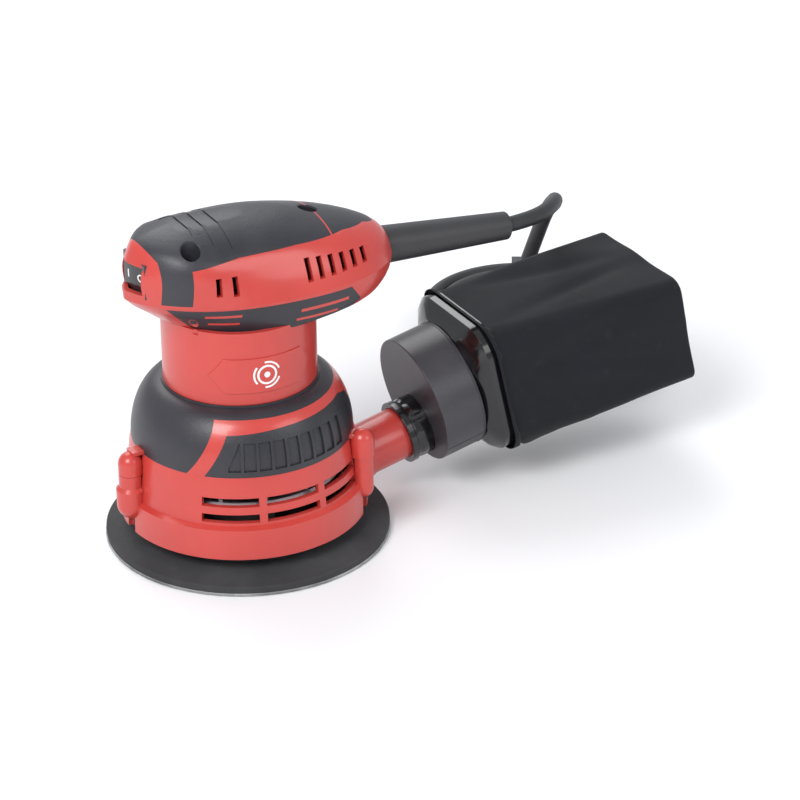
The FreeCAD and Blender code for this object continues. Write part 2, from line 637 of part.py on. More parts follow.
def vent_cutters():
    """Upright slots through the head's flanks: two near the front, six near the rear."""
    cutters = []
    spots = [(-22.2, 125.6, 7.9), (-15.2, 124.9, 8.3)]
    spots += [(17.6 + 5.6 * k, 125.0 + 0.14 * k, 9.3 - 0.7 * k) for k in range(6)]
    for x, z, tall in spots:
        slot = box(x, x + 2.5, 12, 60, z, z + tall)
        cutters += mirrored_pair(slot)
    return cutters


def switch_parts():
    """The rocker, resting with its off side pressed, and the switch body behind it."""
    px, pz = ROCKER_PIVOT.x, ROCKER_PIVOT.z
    half = ROCKER_HALF_W
    outline = ((-5.6, 0.0), (-4.3, -half), (2.0, -half + 1.2), (2.0, half - 1.2), (-4.3, half))
    points = [Vector(px + x, y, pz - ROCKER_HALF_H) for x, y in outline]
    points.append(points[0])
    rocker = Part.Face(Part.makePolygon(points)).extrude(Vector(0, 0, 2 * ROCKER_HALF_H))
    trunnion = ROCKER_HALF_H + ROCKER_GAP + 0.8
    rocker = rocker.fuse(disc(TRUNNION_R, pz - trunnion, pz + trunnion, px, 0))
    rocker.rotate(ROCKER_PIVOT, UP, ROCKER_TURN)
    seat = disc(TRUNNION_R + 0.06, pz - trunnion - 0.1, pz + trunnion + 0.1, px, 0)
    room = rocker_room(ROCKER_GAP).fuse(seat)
    body = box(px - 4.5, px + 16.0, -half - 2.4, half + 2.4, pz - ROCKER_HALF_H - 2, pz + ROCKER_HALF_H + 2)
    pins = [box(px + 15.5, px + 21.0, y - 0.4, y + 0.4, pz - 2, pz + 2) for y in (-5.0, 0.0, 5.0)]
    return {"switch_rocker": rocker, "switch_body": joined([body.cut(room)] + pins)}


def rocker_room(gap):
    """The space that the rocker sweeps between its two ends."""
    px, pz = ROCKER_PIVOT.x, ROCKER_PIVOT.z
    return box(px - 12, px + 6.2, -ROCKER_HALF_W - gap - 0.4, ROCKER_HALF_W + gap + 0.4,
               pz - ROCKER_HALF_H - gap, pz + ROCKER_HALF_H + gap)


def head_parts():
    """The cover, its soft grip, the housing with its overmoulds, and what they hold."""
    belly = head_belly()
    shoulder = shoulder_grip()
    waist = waist_grip(belly)
    dome = head_loft(COVER_LEVELS)
    under_skin = head_loft(COVER_LEVELS, GRIP_T)
    under_skin = under_skin.cut(box(-90, 90, -90, 90, COVER_LEVELS[-1][0] - GRIP_T, 200))
    layer = dome.cut(under_skin)
    grip = layer.common(side_prism(GRIP_OUTLINE))
    hollow = head_loft(COVER_LEVELS[:-1], COVER_WALL)
    hollow = hollow.fuse(Part.Face(head_section(COVER_LEVELS[0], COVER_WALL)).extrude(Vector(0, 0, -1)))
    hollow = hollow.cut(cover_screw_posts(WELL_R + 1.8, PART_LINE_Z - 2, 160.0))
    bores = cover_screw_posts(WELL_R, WELL_FLOOR_Z, 160.0)
    bores += cover_screw_posts(1.9, PART_LINE_Z - 1, 160.0)
    strip_layer = dome.cut(head_loft(COVER_LEVELS, GROOVE_DEPTH).cut(
        box(-90, 90, -90, 90, COVER_LEVELS[-1][0] - GROOVE_DEPTH, 200)))
    grooves = [strip_layer.common(box(x0, x1, -half, half, 130, 160)) for x0, x1, half in GROOVES]
    grip = grip.cut(bores + vent_cutters() + grooves)
    grip = max(grip.Solids, key=lambda solid: solid.Volume)
    cover = dome.cut(hollow)
    cover = cover.cut(bores + vent_cutters() + [rocker_room(ROCKER_GAP), guard_shape(0.2, solid=True)])
    switch = switch_parts()
    cover = cover.cut([grip, switch["switch_body"]])
    cover = max(cover.Solids, key=lambda solid: solid.Volume)
    screws = []
    for x, y in COVER_SCREWS:
        head = disc(3.6, WELL_FLOOR_Z, WELL_FLOOR_Z + 2.4, x, y)
        recess = box(x - 2.0, x + 2.0, y - 0.5, y + 0.5, WELL_FLOOR_Z + 1.2, WELL_FLOOR_Z + 3)
        screws.append(joined([head, disc(1.6, 112.0, WELL_FLOOR_Z + 1, x, y)]).cut(recess))
    parts = {
        "motor_housing": motor_housing(belly, shoulder, waist),
        "shoulder_grip": shoulder,
        "waist_grip": waist,
        "head_cover": cover,
        "top_grip": grip,
        "badge": badge_plate(),
        "cover_screws": group(screws),
        "capacitor": box(3.0, 20.0, -6.0, 6.0, 122.0, 133.0),
        "cord_clamp": box(50.0, 57.0, -9.0, 9.0, 122.8, 126.0),
        "clamp_screws": group([joined([disc(1.5, 114.5, 126.5, 53.5, y), disc(2.7, 126.0, 127.6, 53.5, y)])
                               for y in (-6.8, 6.8)]),
    }
    parts["cord_clamp"] = parts["cord_clamp"].cut([disc(1.55, 100, 140, 53.5, y) for y in (-6.8, 6.8)])
    parts.update(switch)
    return parts


# ---- cord ---------------------------------------------------------------
GUARD_DIR = Vector(math.cos(math.radians(GUARD_DROOP)), 0, -math.sin(math.radians(GUARD_DROOP)))
GUARD_END = GUARD_START + GUARD_DIR * GUARD_LENGTH
GUARD_COLLAR = 6.0
ROUTE = (
    (146.5, 2.0, 113.6), (163.0, 14.0, 112.2), (173.5, 30.0, 107.0), (178.0, 44.5, 95.5),
    (179.0, 54.5, 79.0), (177.0, 61.5, 60.5), (173.0, 68.0, 42.0), (168.5, 75.5, 25.0),
    (164.5, 85.5, 11.5), (161.5, 99.0, 4.6), (160.6, 115.0, 3.6),
)
TAIL = ((251.5, 115.0, 10.5), (252.5, 96.0, 8.5), (250.0, 77.0, 9.0), (243.0, 60.5, 11.5),
        (228.0, 50.5, 13.0))


def guard_shape(extra=0.0, solid=False):
    """The cord guard: a collar held in the housing, a groove at its wall and a long taper."""
    collar = Part.makeCylinder(GUARD_R0 + 2.4 + extra, 3.4 + 2 * extra,
                               GUARD_START - GUARD_DIR * (GUARD_COLLAR + 2.4 + extra), GUARD_DIR)
    neck = Part.makeCylinder(GUARD_R0 + extra, GUARD_COLLAR + 4.0, GUARD_START - GUARD_DIR * GUARD_COLLAR,
                             GUARD_DIR)
    if solid:
        return joined([collar, neck])
    taper = Part.makeCone(GUARD_R0, GUARD_R1, GUARD_LENGTH, GUARD_START, GUARD_DIR)
    body = joined([collar, Part.makeCylinder(GUARD_R0, GUARD_COLLAR, GUARD_START - GUARD_DIR * GUARD_COLLAR,
                                             GUARD_DIR), taper])
    return body.cut(Part.makeCylinder(CORD_R, GUARD_LENGTH + 30, GUARD_START - GUARD_DIR * 12, GUARD_DIR))


def tube_along(route, radius):
    """A round tube on straight runs joined by tangent arcs, as large as the runs allow."""
    points = [Vector(*p) if isinstance(p, tuple) else p for p in route]
    edges = []
    radii = []
    start = points[0]
    for before, corner, after in zip(points, points[1:], points[2:]):
        back = (before - corner)
        ahead = (after - corner)
        turn = math.pi - back.getAngle(ahead)
        shorter = min(back.Length, ahead.Length)
        arc_r = 0.45 * shorter / math.tan(turn / 2)
        reach = 0.45 * shorter
        back.normalize()
        ahead.normalize()
        first = corner + back * reach
        last = corner + ahead * reach
        inward = (back + ahead).normalize()
        depth = arc_r / math.cos(turn / 2) - arc_r
        middle = corner + inward * depth
        edges.append(Part.LineSegment(start, first).toShape())
        edges.append(Part.Arc(first, middle, last).toShape())
        radii.append(round(arc_r, 1))
        start = last
    edges.append(Part.LineSegment(start, points[-1]).toShape())
    path = Part.Wire(edges)
    section = Part.Wire([Part.Circle(points[0], points[1] - points[0], radius).toShape()])
    tube = path.makePipeShell([section], True, True)
    length = path.Length
    print("cord run length", round(length, 1), "bend radii", radii,
          "volume ratio", round(tube.Volume / (math.pi * radius ** 2 * length), 4))
    return tube


def cord_parts():
    """Guard, the free cord, its stored coil and the moulded plug."""
    inner_start = GUARD_START - GUARD_DIR * 16.0
    inner = Part.makeCylinder(CORD_R, GUARD_LENGTH + 16.0, inner_start, GUARD_DIR)
    cx, cy = COIL_CENTRE
    coil_height = 2 * CORD_R * COIL_LAYERS
    coil = ring(COIL_TURN_R[-1] + CORD_R, COIL_TURN_R[0] - CORD_R, 0.0, coil_height, cx, cy)
    run = tube_along((GUARD_END,) + ROUTE, CORD_R)
    tail = tube_along(TAIL, CORD_R)
    plug_x = TAIL[-1][0]
    axis = Vector(-1, 0, 0)
    plug = joined([Part.makeCone(5.0, 9.0, 12.0, Vector(plug_x + 8, PLUG_Y, PLUG_R), axis),
                   Part.makeCylinder(PLUG_R, 26.0, Vector(plug_x - 3, PLUG_Y, PLUG_R), axis)])
    plug = plug.cut(Part.makeCylinder(CORD_R, 12.0, Vector(plug_x + 9, PLUG_Y, PLUG_R), axis))
    face_x = plug_x - 29.0
    pins = []
    for side in (-0.5, 0.5):
        pin_y = PLUG_Y + side * PIN_SPACING
        pin = Part.makeCylinder(PIN_R, PIN_LENGTH, Vector(face_x, pin_y, PLUG_R), axis)
        stem = Part.makeCylinder(PIN_R - 0.5, 7.0, Vector(face_x + 6.0, pin_y, PLUG_R), axis)
        pins.append(joined([pin, stem]))
    plug = plug.cut(pins)
    ties = []
    for angle in (60.0,):
        tie = box(COIL_TURN_R[0] - CORD_R - 1.2, COIL_TURN_R[-1] + CORD_R + 1.2, -4.0, 4.0,
                  0.0, coil_height + 1.2)
        hole = box(COIL_TURN_R[0] - CORD_R, COIL_TURN_R[-1] + CORD_R, -5.0, 5.0, -1.0, coil_height)
        tie = tie.cut(hole)
        tie.rotate(ORIGIN, UP, angle)
        tie.translate(Vector(cx, cy, 0))
        ties.append(tie)
    return {
        "cord_guard": guard_shape(),
        "cord_inner": inner,
        "cord": run,
        "cord_tail": tail,
        "cord_coil": coil,
        "coil_tie": group([t.cut(coil) for t in ties]),
        "plug_body": plug,
        "plug_pins": group(pins),
    }


# ---- dust bag -----------------------------------------------------------
def frame_form(inset, s0, s1):
    """The bag's mouth frame between two stations: a tray that widens from the drum, then runs straight."""
    rows = ((s0, 12.0), ((s0 + FRAME_FRONT) / 2, 4.0), (FRAME_FRONT, 0.0), (s1, 0.0))
    wires = [rounded_rectangle(FRAME_H - less - 2 * inset, FRAME_W - less - 2 * inset, 14.0 - inset, s)
             for s, less in rows]
    return Part.makeLoft(wires, True, True)


def bag_form():
    """The cloth bag's outer shape, which droops towards its tail and hems over the mouth frame."""
    rows = []
    for share in (0.0, 0.45, 0.9, 1.0):
        height = BAG_MOUTH[0] + share * (BAG_TAIL[0] - BAG_MOUTH[0])
        width = BAG_MOUTH[1] + share * (BAG_TAIL[1] - BAG_MOUTH[1])
        trim = 2.5 if share == 1.0 else 0.0
        s = BAG_START + share * (BAG_END - BAG_START)
        wire = rounded_rectangle(height - trim, width - trim, BAG_CORNER, s)
        wire.translate(Vector(share * BAG_DROOP, 0, 0))
        rows.append(wire)
    bag = Part.makeLoft(rows, True, True)
    return bag.cut(frame_form(-0.3, DRUM_END, FRAME_END + 0.3))


def bag_parts():
    """Socket collar, drum, mouth frame and the cloth bag, all pulled off together."""
    bore = disc(DUCT_R + COLLAR_FIT, COLLAR_START - 1, DUCT_END + 3)
    collar = joined([disc(COLLAR_R, COLLAR_START, COLLAR_END),
                     disc(COLLAR_R + 0.9, COLLAR_START, COLLAR_START + COLLAR_LIP)])
    collar = collar.cut([bore, disc(DUCT_R - 1.4, 0, 90)])
    drum = disc(DRUM_R, DRUM_START, DRUM_END).cut(disc(DRUM_R - DRUM_WALL, DRUM_START + DRUM_WALL, 90))
    hole = disc(COLLAR_R, 0, 90)
    hole.translate(Vector(BAG_UP, 0, 0))
    drum = drum.cut(hole)
    frame = frame_form(0.0, DRUM_END, FRAME_END)
    frame = frame.cut(frame_form(FRAME_WALL, DRUM_END + 2.5, FRAME_END + 1))
    eye = disc(DRUM_R - DRUM_WALL - 3.0, 0, 90)
    eye.translate(Vector(FRAME_UP - BAG_UP, 0, 0))
    frame = frame.cut(eye)
    seal = ring(COLLAR_R, DUCT_R - 1.4, COLLAR_END, COLLAR_END + 1.5)
    return {
        "bag_socket": on_duct(collar),
        "socket_seal": on_duct(seal),
        "bag_drum": on_duct(drum, BAG_UP),
        "bag_frame": on_duct(frame, FRAME_UP),
        "dust_bag": on_duct(bag_form(), FRAME_UP),
    }


# ---- the whole tool -----------------------------------------------------
def main():
    parts = {}
    for made in (pad_parts(), drive_parts(), motor_parts(), skirt_parts(), head_parts(),
                 cord_parts(), bag_parts()):
        parts.update(made)
    os.makedirs("parts", exist_ok=True)
    for node, shape in parts.items():
        if not shape.isValid():
            print("NOT VALID", node)
        shape.exportStep(os.path.join("parts", node + ".step"))
        print(node, len(shape.Solids), round(shape.Volume / 1000.0, 2))


main()
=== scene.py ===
"""Random-orbit sander: finishes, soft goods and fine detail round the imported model."""

import json
import logging
import math
from dataclasses import dataclass, field
from enum import Enum
from typing import Optional, Sequence

import bpy
import numpy as np
from mathutils import Matrix, Quaternion, Vector
from mathutils.bvhtree import BVHTree


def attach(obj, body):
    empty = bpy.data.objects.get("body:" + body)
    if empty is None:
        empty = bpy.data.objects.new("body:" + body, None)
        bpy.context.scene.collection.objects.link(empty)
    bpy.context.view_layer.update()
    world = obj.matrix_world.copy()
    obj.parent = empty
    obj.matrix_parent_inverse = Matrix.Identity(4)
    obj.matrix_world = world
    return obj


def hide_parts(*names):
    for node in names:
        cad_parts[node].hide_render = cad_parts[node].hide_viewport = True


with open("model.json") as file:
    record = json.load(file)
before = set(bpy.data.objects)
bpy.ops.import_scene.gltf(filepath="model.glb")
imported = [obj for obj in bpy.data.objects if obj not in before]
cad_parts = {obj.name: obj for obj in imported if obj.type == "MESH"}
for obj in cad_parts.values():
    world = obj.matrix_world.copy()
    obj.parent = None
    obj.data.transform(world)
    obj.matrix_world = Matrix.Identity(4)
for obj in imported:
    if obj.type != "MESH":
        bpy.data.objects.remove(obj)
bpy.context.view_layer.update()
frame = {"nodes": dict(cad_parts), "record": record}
LOG = logging.getLogger("sander")
MM = 0.001
Point = tuple[float, float, float]
Colour = tuple[float, float, float]

# ---- shared sizes, in millimetres, as the model's source has them ----------
DUCT_TILT = 12.7
DUCT_ROOT = (53.0, 0.0, 21.3)
BAG_UP = 12.2
FRAME_UP = 14.0
DRUM_R = 28.75
DRUM_SPAN = (34.0, 54.0)
COVER_SCREWS = ((-28.8, 18.0), (-28.8, -18.0), (33.5, 0.0))
WELL_R = 4.4
WELL_FLOOR_Z = 130.0
ROCKER_PIVOT = (-41.8, 0.0, 130.5)
ROCKER_TURN = 13.0
BADGE = (-3.2, 88.6)
CORD_D = 7.0
GUARD_START = (68.0, 0.0, 118.7)
GUARD_DROOP = 4.0
GUARD_LENGTH = 62.0
PAD_R = 61.5
ORBIT_OFFSET = 1.4
NECK_R = 32.9


class Body(str, Enum):
    """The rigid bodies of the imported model."""

    HOUSING = "housing"
    ARMATURE = "armature"
    PAD = "pad"
    ROCKER = "rocker"
    BAG = "dust_bag"


# ---- shader helpers --------------------------------------------------------
class Graph:
    """A node tree with short calls for adding and joining nodes."""

    def __init__(self, tree: bpy.types.NodeTree) -> None:
        """Starts from an empty tree."""
        self.tree = tree
        tree.nodes.clear()

    def add(self, kind: str, values: Optional[dict] = None, **settings) -> bpy.types.Node:
        """Adds a node.

        Args:
            kind: The node's type name.
            values: Input socket names or numbers and what they are set or linked to.
            settings: Properties of the node itself.

        Returns:
            The new node.
        """
        node = self.tree.nodes.new(kind)
        for name, value in settings.items():
            setattr(node, name, value)
        for socket, value in (values or {}).items():
            if isinstance(value, bpy.types.NodeSocket):
                self.tree.links.new(value, node.inputs[socket])
            else:
                node.inputs[socket].default_value = value
        return node

    def maths(self, operation: str, a, b=0.0, clamp: bool = False):
        """One arithmetic step.

        Args:
            operation: Name of the operation.
            a: First number or socket.
            b: Second number or socket.
            clamp: Whether the result is kept between 0 and 1.

        Returns:
            The result's socket.
        """
        return self.add("ShaderNodeMath", {0: a, 1: b}, operation=operation, use_clamp=clamp).outputs[0]

    def ramp(self, value, low: float, high: float, to_low: float = 0.0, to_high: float = 1.0):
        """A smooth step.

        Args:
            value: The socket that is read.
            low: Where the step starts.
            high: Where it ends.
            to_low: Result below the step.
            to_high: Result above it.

        Returns:
            The result's socket.
        """
        node = self.add("ShaderNodeMapRange", {"Value": value, "From Min": low, "From Max": high,
                                               "To Min": to_low, "To Max": to_high},
                        interpolation_type="SMOOTHSTEP")
        return node.outputs[0]

    def blend(self, share, a, b):
        """A colour between two others.

        Args:
            share: How much of the second colour shows.
            a: First colour or socket.
            b: Second colour or socket.

        Returns:
            The colour's socket.
        """
        node = self.add("ShaderNodeMix", data_type="RGBA")
        for socket, value in ((0, share), (6, a), (7, b)):
            if isinstance(value, bpy.types.NodeSocket):
                self.tree.links.new(value, node.inputs[socket])
            else:
                node.inputs[socket].default_value = value
        return node.outputs[2]


def group_tree(name: str, inputs: Sequence[tuple[str, float]], outputs: Sequence[str]) -> Graph:
    """A new shader node group with float sockets.

    Args:
        name: The group's name.
        inputs: Input names and their default values.
        outputs: Output names.

    Returns:
        The graph inside the group.
    """
    tree = bpy.data.node_groups.new(name, "ShaderNodeTree")
    for label, value in inputs:
        socket = tree.interface.new_socket(label, in_out="INPUT", socket_type="NodeSocketFloat")
        socket.default_value = value
    for label in outputs:
        tree.interface.new_socket(label, in_out="OUTPUT", socket_type="NodeSocketFloat")
    return Graph(tree)


def grain_group() -> bpy.types.NodeTree:
    """Moulded surface grain: two sizes of noise for height and one broad one for tone.

    Returns:
        The group, with inputs Scale and Breadth and outputs Height, Tone and Fleck.
    """
    g = group_tree("moulded_grain", (("Scale", 900.0), ("Breadth", 25.0)), ("Height", "Tone", "Fleck"))
    source = g.add("NodeGroupInput")
    place = g.add("ShaderNodeTexCoord").outputs["Object"]
    fine = g.add("ShaderNodeTexNoise", {"Vector": place, "Scale": source.outputs["Scale"], "Detail": 2.0})
    half = g.maths("MULTIPLY", source.outputs["Scale"], 0.31)
    coarse = g.add("ShaderNodeTexNoise", {"Vector": place, "Scale": half, "Detail": 3.0})
    broad = g.add("ShaderNodeTexNoise", {"Vector": place, "Scale": source.outputs["Breadth"], "Detail": 4.0,
                                         "Roughness": 0.6})
    height = g.maths("ADD", fine.outputs["Fac"], g.maths("MULTIPLY", coarse.outputs["Fac"], 0.6))
    fleck = g.ramp(coarse.outputs["Fac"], 0.62, 0.72)
    g.add("NodeGroupOutput", {"Height": height, "Tone": broad.outputs["Fac"], "Fleck": fleck})
    return g.tree


def scuff_group() -> bpy.types.NodeTree:
    """Fine rubbed lines: stretched noise in two directions, thinned to a few strokes.

    Returns:
        The group, with input Scale and output Mask.
    """
    g = group_tree("rubbed_lines", (("Scale", 60.0),), ("Mask",))
    source = g.add("NodeGroupInput")
    place = g.add("ShaderNodeTexCoord").outputs["Object"]
    strokes = []
    for stretch, turn in (((1.0, 9.0, 3.0), 0.5), ((8.0, 1.0, 2.0), -0.9)):
        mapped = g.add("ShaderNodeMapping", {"Vector": place, "Scale": stretch, "Rotation": (0.2, 0.4, turn)})
        noise = g.add("ShaderNodeTexNoise", {"Vector": mapped.outputs[0], "Scale": source.outputs["Scale"],
                                             "Detail": 5.0, "Roughness": 0.7})
        strokes.append(g.ramp(noise.outputs["Fac"], 0.64, 0.74))
    g.add("NodeGroupOutput", {"Mask": g.maths("MAXIMUM", strokes[0], strokes[1])})
    return g.tree


def weave_group() -> bpy.types.NodeTree:
    """Plain weave: two crossing rows of threads, read from the piece's own UV map in millimetres.

    Returns:
        The group, with input Threads and outputs Height and Gap.
    """
    g = group_tree("plain_weave", (("Threads", 1.6),), ("Height", "Gap"))
    source = g.add("NodeGroupInput")
    uv = g.add("ShaderNodeUVMap", uv_map="cloth")
    parts = g.add("ShaderNodeSeparateXYZ", {0: uv.outputs[0]})
    rows = []
    for axis in ("X", "Y"):
        threads = g.maths("MULTIPLY", parts.outputs[axis], source.outputs["Threads"])
        turned = g.maths("MULTIPLY", threads, math.tau)
        rows.append(g.maths("ABSOLUTE", g.maths("SINE", turned)))
    height = g.maths("MAXIMUM", rows[0], rows[1])
    gap = g.maths("SUBTRACT", 1.0, height, clamp=True)
    g.add("NodeGroupOutput", {"Height": height, "Gap": gap})
    return g.tree


class Effects:
    """The shared shader groups, built once."""

    def __init__(self) -> None:
        """Builds the groups."""
        self.grain = grain_group()
        self.scuff = scuff_group()
        self.weave = weave_group()


EFFECTS = Effects()


@dataclass(frozen=True)
class Finish:
    """A moulded, rubber or metal surface.

    The base colour drifts with broad noise, fine noise gives the grain, and thin rubbed lines
    lighten the colour and change the gloss.
    """

    name: str
    colour: Colour
    roughness: float
    metallic: float = 0.0
    grain: float = 900.0
    depth: float = 0.12
    breadth: float = 22.0
    drift: float = 0.14
    scuff: float = 0.12
    coat: float = 0.0
    sheen: float = 0.0
    specular: float = 0.5

    def build(self) -> bpy.types.Material:
        """Makes the material.

        Returns:
            The material, with a Principled BSDF fed by the shared groups.
        """
        material = bpy.data.materials.new(self.name)
        material.use_nodes = True
        g = Graph(material.node_tree)
        grain = g.add("ShaderNodeGroup", {}, node_tree=EFFECTS.grain)
        grain.inputs["Scale"].default_value = self.grain
        grain.inputs["Breadth"].default_value = self.breadth
        scuff = g.add("ShaderNodeGroup", {}, node_tree=EFFECTS.scuff)
        scuff.inputs["Scale"].default_value = 38.0
        dark = (*[c * (1 - self.drift) for c in self.colour], 1)
        light = (*[min(1.0, c * (1 + self.drift) + 0.002) for c in self.colour], 1)
        worn = (*[min(1.0, c * 1.15 + 0.035) for c in self.colour], 1)
        tone = g.ramp(grain.outputs["Tone"], 0.3, 0.7)
        base = g.blend(tone, dark, light)
        rubbed = g.maths("MULTIPLY", scuff.outputs["Mask"], self.scuff)
        base = g.blend(rubbed, base, worn)
        rough = g.ramp(grain.outputs["Tone"], 0.25, 0.75, self.roughness * 0.9, self.roughness * 1.1)
        worn = g.maths("MULTIPLY", scuff.outputs["Mask"], 0.10 * self.scuff)
        rough = g.maths("ADD", rough, worn, clamp=True)
        bump = g.add("ShaderNodeBump", {"Strength": self.depth, "Distance": 0.0003,
                                        "Height": grain.outputs["Height"]})
        shader = g.add("ShaderNodeBsdfPrincipled", {
            "Base Color": base, "Roughness": rough, "Metallic": self.metallic, "Normal": bump.outputs[0],
            "Coat Weight": self.coat, "Coat Roughness": 0.12, "Sheen Weight": self.sheen,
            "Specular IOR Level": self.specular})
        g.add("ShaderNodeOutputMaterial", {"Surface": shader.outputs[0]})
        return material


@dataclass(frozen=True)
class Cloth:
    """A close woven cloth whose threads follow the piece's UV map."""

    name: str
    colour: Colour
    roughness: float = 0.78
    threads: float = 1.1
    depth: float = 0.35
    sheen: float = 0.35

    def build(self) -> bpy.types.Material:
        """Makes the material.

        Returns:
            The material, with weave, lint and broad patches of darker and lighter tone.
        """
        material = bpy.data.materials.new(self.name)
        material.use_nodes = True
        g = Graph(material.node_tree)
        weave = g.add("ShaderNodeGroup", {}, node_tree=EFFECTS.weave)
        weave.inputs["Threads"].default_value = self.threads
        grain = g.add("ShaderNodeGroup", {}, node_tree=EFFECTS.grain)
        grain.inputs["Scale"].default_value = 500.0
        grain.inputs["Breadth"].default_value = 30.0
        dark = (*[c * 0.72 for c in self.colour], 1)
        light = (*[c * 1.25 + 0.002 for c in self.colour], 1)
        lint = (*[c * 1.6 + 0.012 for c in self.colour], 1)
        base = g.blend(g.ramp(grain.outputs["Tone"], 0.3, 0.7), dark, light)
        base = g.blend(g.maths("MULTIPLY", weave.outputs["Gap"], 0.5), base, dark)
        base = g.blend(g.maths("MULTIPLY", grain.outputs["Fleck"], 0.25), base, lint)
        height = g.maths("ADD", weave.outputs["Height"], g.maths("MULTIPLY", grain.outputs["Height"], 0.3))
        bump = g.add("ShaderNodeBump", {"Strength": self.depth, "Distance": 0.0003, "Height": height})
        rough = g.ramp(grain.outputs["Tone"], 0.3, 0.7, self.roughness - 0.06, self.roughness + 0.06)
        shader = g.add("ShaderNodeBsdfPrincipled", {
            "Base Color": base, "Roughness": rough, "Normal": bump.outputs[0], "Sheen Weight": self.sheen,
            "Sheen Roughness": 0.4, "Specular IOR Level": 0.30})
        g.add("ShaderNodeOutputMaterial", {"Surface": shader.outputs[0]})
        return material


FINISHES: dict[str, Finish | Cloth] = {
    "red_plastic": Finish("red_plastic", (0.52, 0.046, 0.036), 0.32, grain=1500, depth=0.10, drift=0.05,
                          scuff=0.10, coat=0.25),
    "black_grip": Finish("black_grip", (0.024, 0.024, 0.030), 0.40, grain=1300, depth=0.30, drift=0.2,
                         scuff=0.2),
    "black_plastic": Finish("black_plastic", (0.036, 0.034, 0.040), 0.38, grain=1100, depth=0.16, scuff=0.25),
    "gloss_black": Finish("gloss_black", (0.006, 0.006, 0.007), 0.16, grain=400, depth=0.04, coat=0.3,
                          scuff=0.3),
    "bag_cloth": Cloth("bag_cloth", (0.0055, 0.0062, 0.0095), sheen=0.06),
    "foam": Finish("foam", (0.045, 0.045, 0.047), 0.82, grain=700, depth=0.5, drift=0.25, specular=0.3),
    "hook_face": Finish("hook_face", (0.42, 0.42, 0.42), 0.9, grain=450, depth=0.9, drift=0.5, sheen=0.3),
    "rubber": Finish("rubber", (0.028, 0.028, 0.031), 0.48, grain=900, depth=0.18, scuff=0.2),
    "cord_jacket": Finish("cord_jacket", (0.022, 0.022, 0.025), 0.5, grain=800, depth=0.15),
    "steel": Finish("steel", (0.55, 0.55, 0.56), 0.28, metallic=1.0, grain=600, depth=0.08, scuff=0.5),
    "screw_steel": Finish("screw_steel", (0.05, 0.05, 0.055), 0.35, metallic=0.9, grain=600, depth=0.1),
    "brass": Finish("brass", (0.72, 0.5, 0.2), 0.3, metallic=1.0, grain=500, depth=0.08),
    "copper": Finish("copper", (0.55, 0.22, 0.08), 0.35, metallic=1.0, grain=400, depth=0.3),
    "zinc": Finish("zinc", (0.42, 0.42, 0.44), 0.45, metallic=0.9, grain=500, depth=0.2),
    "cast_alu": Finish("cast_alu", (0.5, 0.5, 0.52), 0.4, metallic=0.9, grain=500, depth=0.2),
    "carbon": Finish("carbon", (0.03, 0.03, 0.03), 0.7, grain=500, depth=0.3),
    "laminations": Finish("laminations", (0.16, 0.16, 0.17), 0.5, metallic=0.8, grain=500, depth=0.2),
    "plug_metal": Finish("plug_metal", (0.66, 0.66, 0.68), 0.18, metallic=1.0, grain=500, depth=0.05),
    "white_mark": Finish("white_mark", (0.80, 0.80, 0.79), 0.45, grain=900, depth=0.05, drift=0.03),
}
PAINT = {name: finish.build() for name, finish in FINISHES.items()}
SLOT_OF = {row["node"]: row["material_slot"] for row in frame["record"]["subparts"]}


# ---- mesh helpers ----------------------------------------------------------
def dress(obj: bpy.types.Object, slot: str) -> None:
    """Gives an object one material slot's paint.

    Args:
        obj: The object.
        slot: The record's material slot.
    """
    obj.data.materials.clear()
    obj.data.materials.append(PAINT[slot])


def add_piece(name: str, verts: np.ndarray, faces: Sequence, body: Body, slot: str,
              stands_for: Sequence[str] = (), smooth: float = 40.0) -> bpy.types.Object:
    """Makes an object from arrays and lets it ride on a body.

    Args:
        name: The piece's name.
        verts: Corner points in millimetres, one row each.
        faces: Corner numbers of each face.
        body: The body that it rides on.
        slot: The record's material slot.
        stands_for: CAD nodes that it replaces.
        smooth: Edges sharper than this many degrees stay sharp.

    Returns:
        The new object.
    """
    mesh = bpy.data.meshes.new(name)
    mesh.from_pydata((np.asarray(verts, float) * MM).tolist(), [], [list(map(int, f)) for f in faces])
    mesh.validate()
    obj = bpy.data.objects.new(name, mesh)
    bpy.context.scene.collection.objects.link(obj)
    shade(obj, smooth)
    place(obj, body, slot, stands_for)
    return obj


def shade(obj: bpy.types.Object, smooth: float) -> None:
    """Shades a mesh smooth apart from edges sharper than the angle.

    Args:
        obj: The object.
        smooth: The angle in degrees.
    """
    obj.data.polygons.foreach_set("use_smooth", np.ones(len(obj.data.polygons), bool))
    if smooth < 180:
        obj.data.set_sharp_from_angle(angle=math.radians(smooth))


def place(obj: bpy.types.Object, body: Body, slot: str, stands_for: Sequence[str] = ()) -> None:
    """Dresses an object, lets it ride on a body and hides the CAD nodes that it replaces."""
    dress(obj, slot)
    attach(obj, body.value)
    if stands_for:
        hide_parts(*stands_for)
    LOG.info("made %s on %s", obj.name, body.value)


